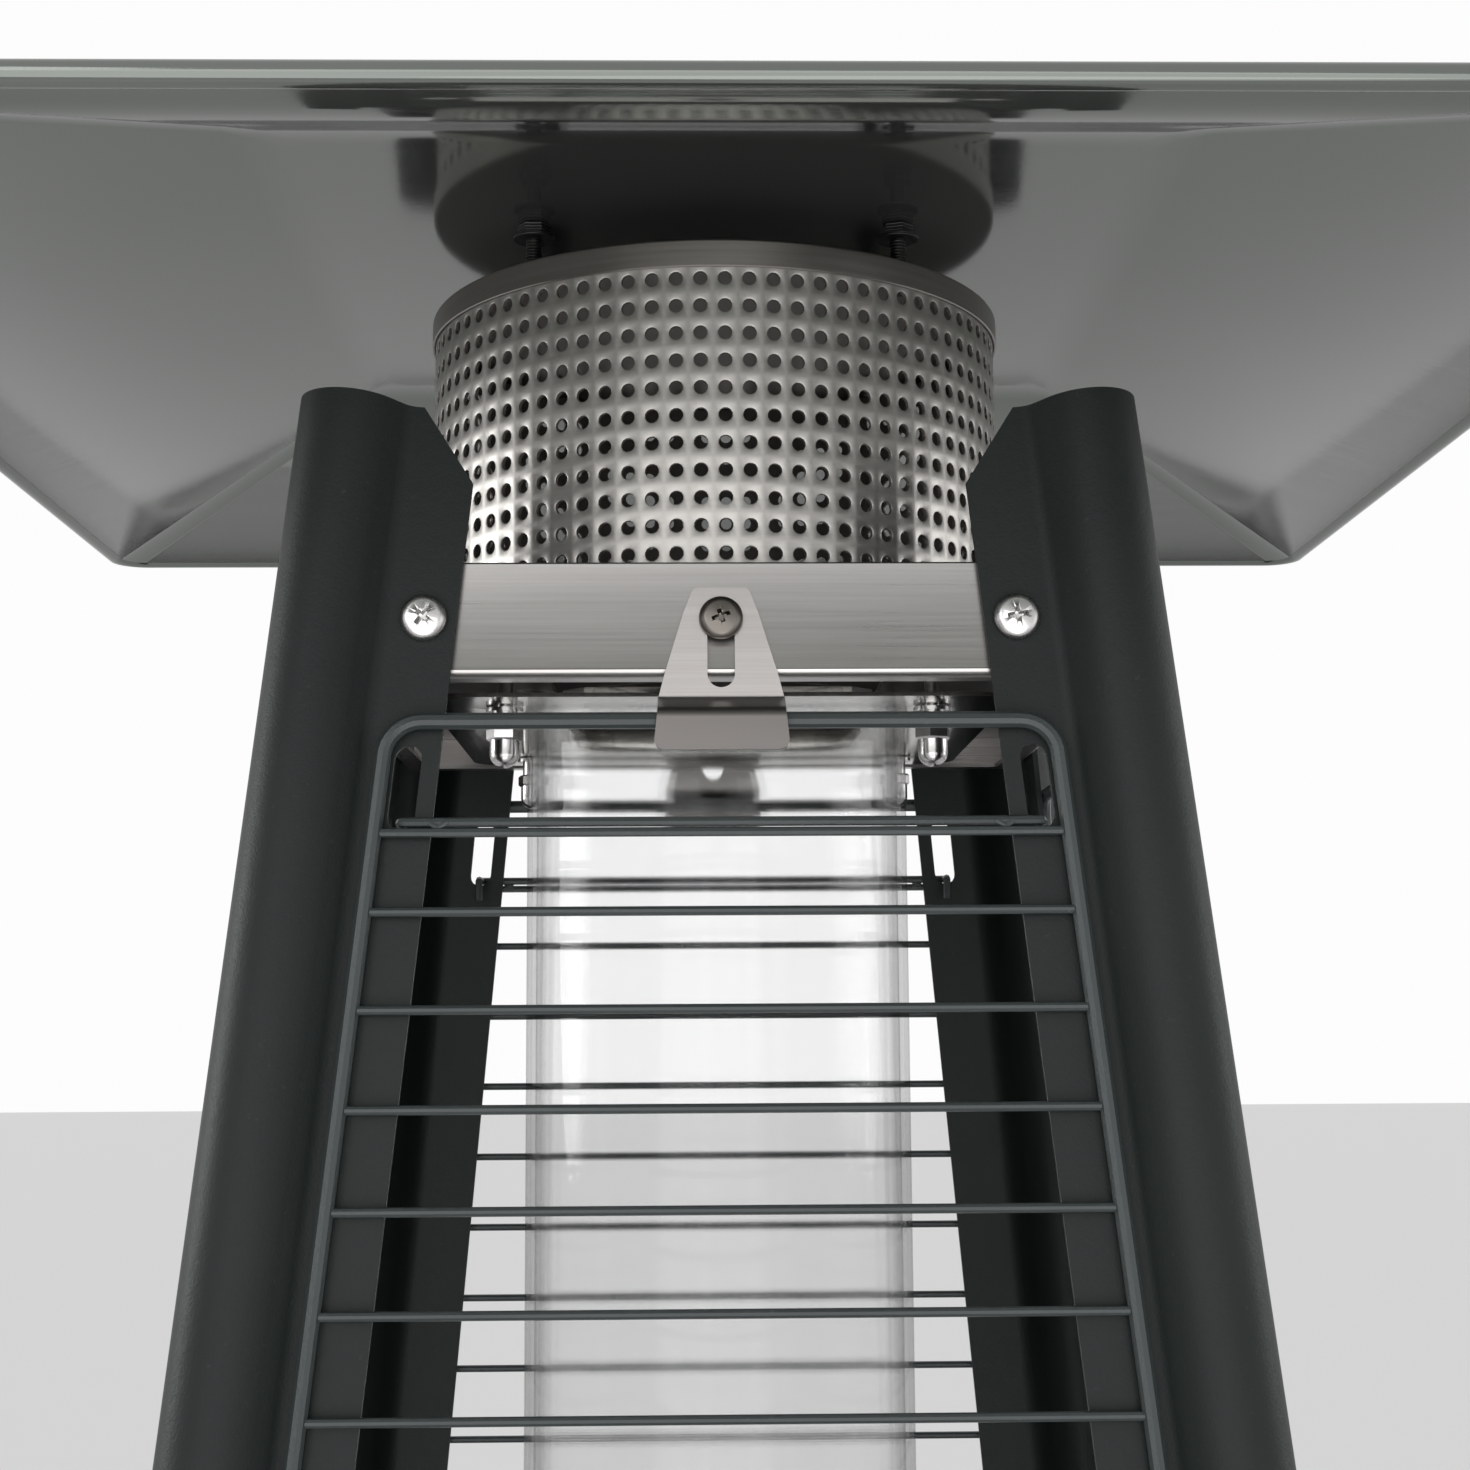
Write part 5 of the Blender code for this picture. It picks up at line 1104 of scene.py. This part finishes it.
def make_cabinet():
    for node, width in (("panel_left", 0.0003), ("panel_right", 0.0003), ("panel_rear", 0.0003),
                        ("control_panel", 0.0003), ("burner_deck", 0.0006), ("base_pan", 0.0007)):
        dressed(node, COAT, width)
    dressed("tank_door", COAT, 0.0004, "door")
    for node, width in (("door_pin_lower", 0.0007), ("door_pin_upper", 0.0007), ("wheel_axle", 0.0006)):
        dressed(node, ZINC, width)
    dressed("igniter_barrel", BLACK, 0.0006)


DOOR_TOP = DECK - 0.016 - 0.150 - 0.003
CONTROL_Z = DECK - 0.016 - 0.075
BASE_HALF = CROWN_OUT + lean(BASE_TOP) + 0.004


def make_handle():
    """Bow handle with round edges on two feet."""
    z = (BASE_TOP + DOOR_TOP) * 2 / 3
    x = opening(z) - 0.032
    # Height along the door and distance from it in millimetres, the feet a gap away from the sheet
    outer = [(-55, 12), (-47, 24), (47, 24), (55, 12), (55, 0.3), (41, 0.3)]
    outer = in_mm([(-55, 0.3)] + outer + [(41, 8), (37, 16), (-37, 16), (-41, 8), (-41, 0.3)])
    rings = []
    for side in (-1, 1):
        rings.append([(x + side * 0.005, -(flange_out(z + rise) + out), z + rise) for rise, out in outer])
    mesh = rounded(mesh_of(loft(rings)), 0.0022, 50, 4)
    piece("door_handle", "bow", mesh, BLACK, "door")


def make_knob(place):
    """Fluted knob on a skirt, with a pointer line."""
    back, front = 0.005, 0.029
    # Radius, height above the back and depth of the flutes in millimetres
    rows = [(4.3, 14, 0), (4.3, 0, 0), (20.2, 0, 0), (21, 0.8, 0), (20.8, 3, 0), (18, 6.2, 0), (16.6, 7, 0.2)]
    rows += [(15.2, 8, 1.3), (14.8, 21, 1.3), (14, 23, 0.8), (12.2, 24, 0), (11, 23.6, 0)]
    angles = [2 * pi * k / 96 for k in range(96)]
    rings = []
    for radius, height, flute in rows:
        reaches = [(radius - flute * max(0.0, cos(12 * a)) ** 1.5) * MM for a in angles]
        rings.append([(*polar(r, a), back + height * MM) for r, a in zip(reaches, angles)])
    line = [(-0.0008, 0.004), (0.0008, 0.004), (0.0008, 0.0115), (-0.0008, 0.0115)]
    pointer = mesh_of(loft([level(line, h) for h in (front - 0.0008, front + 0.00005)]))
    mesh = paired(moved(mesh_of(loft(rings), 40), place), moved(pointer, place))
    piece("control_knob", "grip", mesh, (BLACK, MARK), "knob")


def tick_marks():
    """Eight ticks over the knob's turn, the two at its ends and one between them longer."""
    marks = []
    for k in range(8):
        near, far = 0.0250, 0.0295 if k in (0, 3, 7) else 0.0275
        bar = [(near, -0.0005), (far, -0.0005), (far, 0.0005), (near, 0.0005)]
        mark = mesh_of(loft([level(bar, h) for h in (0.00002, 0.00012)]))
        marks.append(moved(mark, Matrix.Rotation(radians(90 + KNOB_TURN * k / 7), 4, "Z")))
    return joined(*marks)


def make_controls():
    knob_place = facing(VALVE_X, CONTROL_Z, face(CONTROL_Z))
    button_place = facing(-VALVE_X, CONTROL_Z, face(CONTROL_Z))
    make_knob(knob_place)
    shaft = in_mm([(0, -34.9), (3.8, -34.9), (4, -34.5), (4, 18.3), (3.6, 18.7), (0, 18.7)])
    piece("valve_stem", "shaft", moved(spun(shaft, 32, 40), knob_place), ZINC, "stem")
    button = [(0, 7), (4, 6.9), (6.2, 6.5), (7, 6), (7.5, 5), (7.5, -1.3), (9.5, -1.3), (9.5, -3.3)]
    button = in_mm(button + [(7.5, -3.3), (7.5, -12), (0, -12)])
    piece("igniter_button", "cap", moved(spun(button, 48, 40), button_place), RED, "button")
    bezel = in_mm([(8.6, 0.05), (11.8, 0.05), (11.8, 0.8), (11.2, 1.3), (8.6, 1.3)])
    piece(None, "control_marks", moved(tick_marks(), knob_place), MARK)
    piece(None, "igniter_bezel", moved(spun(bezel, 48, 40), button_place), BRIGHT)


def make_valve():
    low = CONTROL_Z - 0.020
    place = Matrix.Translation((VALVE_X, -face(CONTROL_Z) + 0.023 + 0.0225, 0))
    nut = moved(hexagon(0.0115, 0.0008, low - 0.007, low - 0.0002), place)
    gland = moved(hexagon(0.0085, 0.0006, low + 0.0401, low + 0.0460), place)
    body = rounded(node_mesh("gas_valve"), 0.0012, 40, 3)
    piece("gas_valve", "body", joined(body, nut), BRASS)
    pipe = node_mesh("gas_pipe", 0.01)
    pipe.shade_smooth()
    piece("gas_pipe", "tube", joined(pipe, gland), ZINC)


def make_feet():
    inset = BASE_HALF - 0.050
    top = BASE_TOP - SHEET - GAP
    foot = [(17, 14), (18, 10)]
    for height in (8.8, 6.6, 4.4):
        foot += [(18, height), (17.4, height - 0.4), (17.4, height - 1.2)]
    foot = [(0, top), (0.0155, top), (0.016, top - 0.0005)] + in_mm(foot + [(18, 2), (16, 0), (0, 0)])
    for k, corner in enumerate(CORNERS):
        mesh = mesh_of(turned(foot, 40, quarter_point(-inset, -inset, k)), 40)
        piece("foot_" + corner, "pad", mesh, RUBBER)


def make_wheels():
    profile = [(4.08, 12), (8.5, 12), (9, 11.5), (9, 7.5), (14.5, 6.8), (15, 8)]
    profile += [(16.5, 10), (18.5, 10), (20, 8)]
    for height in (5.8, 3.4, 1.0):
        profile += [(20, height), (19.2, height - 0.4), (19.2, height - 1.2), (20, height - 1.6)]
    profile = [point for point in profile if point[1] > 0]
    profile += [(radius, -height) for radius, height in reversed(profile)]
    parts = [spun(in_mm(profile), 64, 35)]
    for k in range(5):
        place = Matrix.Rotation(2 * pi * k / 5, 4, "Z") @ Matrix.Translation((0.0118, 0, 0))
        parts.append(rounded(block(place, (0.0065, 0.0022, 0.0176)), 0.0004))
    wheel = moved(joined(*parts), Matrix.Rotation(QUARTER, 4, "Y"))
    for name, side in (("wheel_left", -1), ("wheel_right", 1)):
        mesh = moved(wheel, Matrix.Translation((side * 0.170, BASE_HALF - 0.020, 0.0225)))
        piece(name, "tyre", mesh, RUBBER, name)


# Stage, light and camera


def make_stage():
    bm = bmesh.new()
    bmesh.ops.create_grid(bm, x_segments=1, y_segments=1, size=60.0)
    floor = linked("floor", mesh_of(bm))
    floor.location = (0, 0, -0.0002)
    pale = Finish("pale_floor", Roughness=0.9)
    pale.put("Base Color", (0.80, 0.80, 0.80))
    floor.data.materials.append(pale.material)


def make_light():
    world = bpy.data.worlds.new("studio")
    bpy.context.scene.world = world
    world.use_nodes = True
    tree = Tree(world.node_tree)
    background = world.node_tree.nodes["Background"]
    background.inputs["Color"].default_value = (1, 1, 1, 1)
    path = tree.node("ShaderNodeLightPath").socket.node
    rays = [Link(tree, path.outputs[f"Is {kind} Ray"]) for kind in ("Camera", "Glossy", "Transmission")]
    shown = rays[0] + rays[1] + rays[2]
    tree.feed(background.inputs["Strength"], 0.80 + 0.18 * (shown > 0.5))
    # Name, place, watts and diameter
    lamps = (
        ("key", (-1.3, -2.2, 2.9), 9.0, 1.3), ("fill", (2.0, -1.6, 2.0), 5.0, 1.8),
        ("front", (-0.1, -1.5, 1.6), 17.0, 2.0), ("low", (0.3, -1.6, 0.8), 3.0, 1.2),
        ("side", (-2.2, 0.25, 2.25), 20.0, 0.9), ("far_side", (2.2, 0.35, 2.25), 8.0, 0.9)
    )
    for name, place, power, size in lamps:
        lamp = bpy.data.lights.new(name, "AREA")
        lamp.energy = power
        lamp.shape = "DISK"
        lamp.size = size
        obj = linked(name, lamp)
        obj.location = place
        obj.rotation_euler = (LIT_POINT - Vector(place)).to_track_quat("-Z", "Y").to_euler()
        obj.visible_transmission = False


def make_camera():
    """The photo's camera: it looks along +Y, pitched up, then turned about the vertical."""
    camera = bpy.data.cameras.new("camera")
    camera.sensor_width = 36.0
    camera.lens = FOCAL_PIXELS / PICTURE_PIXELS * camera.sensor_width
    camera.clip_start = 0.01
    obj = linked("camera", camera)
    turn = Matrix.Rotation(-CAMERA_YAW, 4, "Z") @ Matrix.Rotation(QUARTER + CAMERA_PITCH, 4, "X")
    obj.matrix_world = Matrix.Translation(CAMERA_PLACE) @ turn @ Matrix.Rotation(CAMERA_ROLL, 4, "Z")
    bpy.context.scene.camera = obj
    bpy.context.scene.view_settings.view_transform = "Standard"


for make in (
    make_camera, make_stage, make_light, make_posts, make_flange_screws, make_guards, make_neck_box,
    make_holder, make_clamp_nuts, make_screen, make_reflector, make_reflector_studs, make_latches,
    make_glass, make_burner, make_cabinet, make_handle, make_controls, make_valve, make_feet, make_wheels
):
    make()
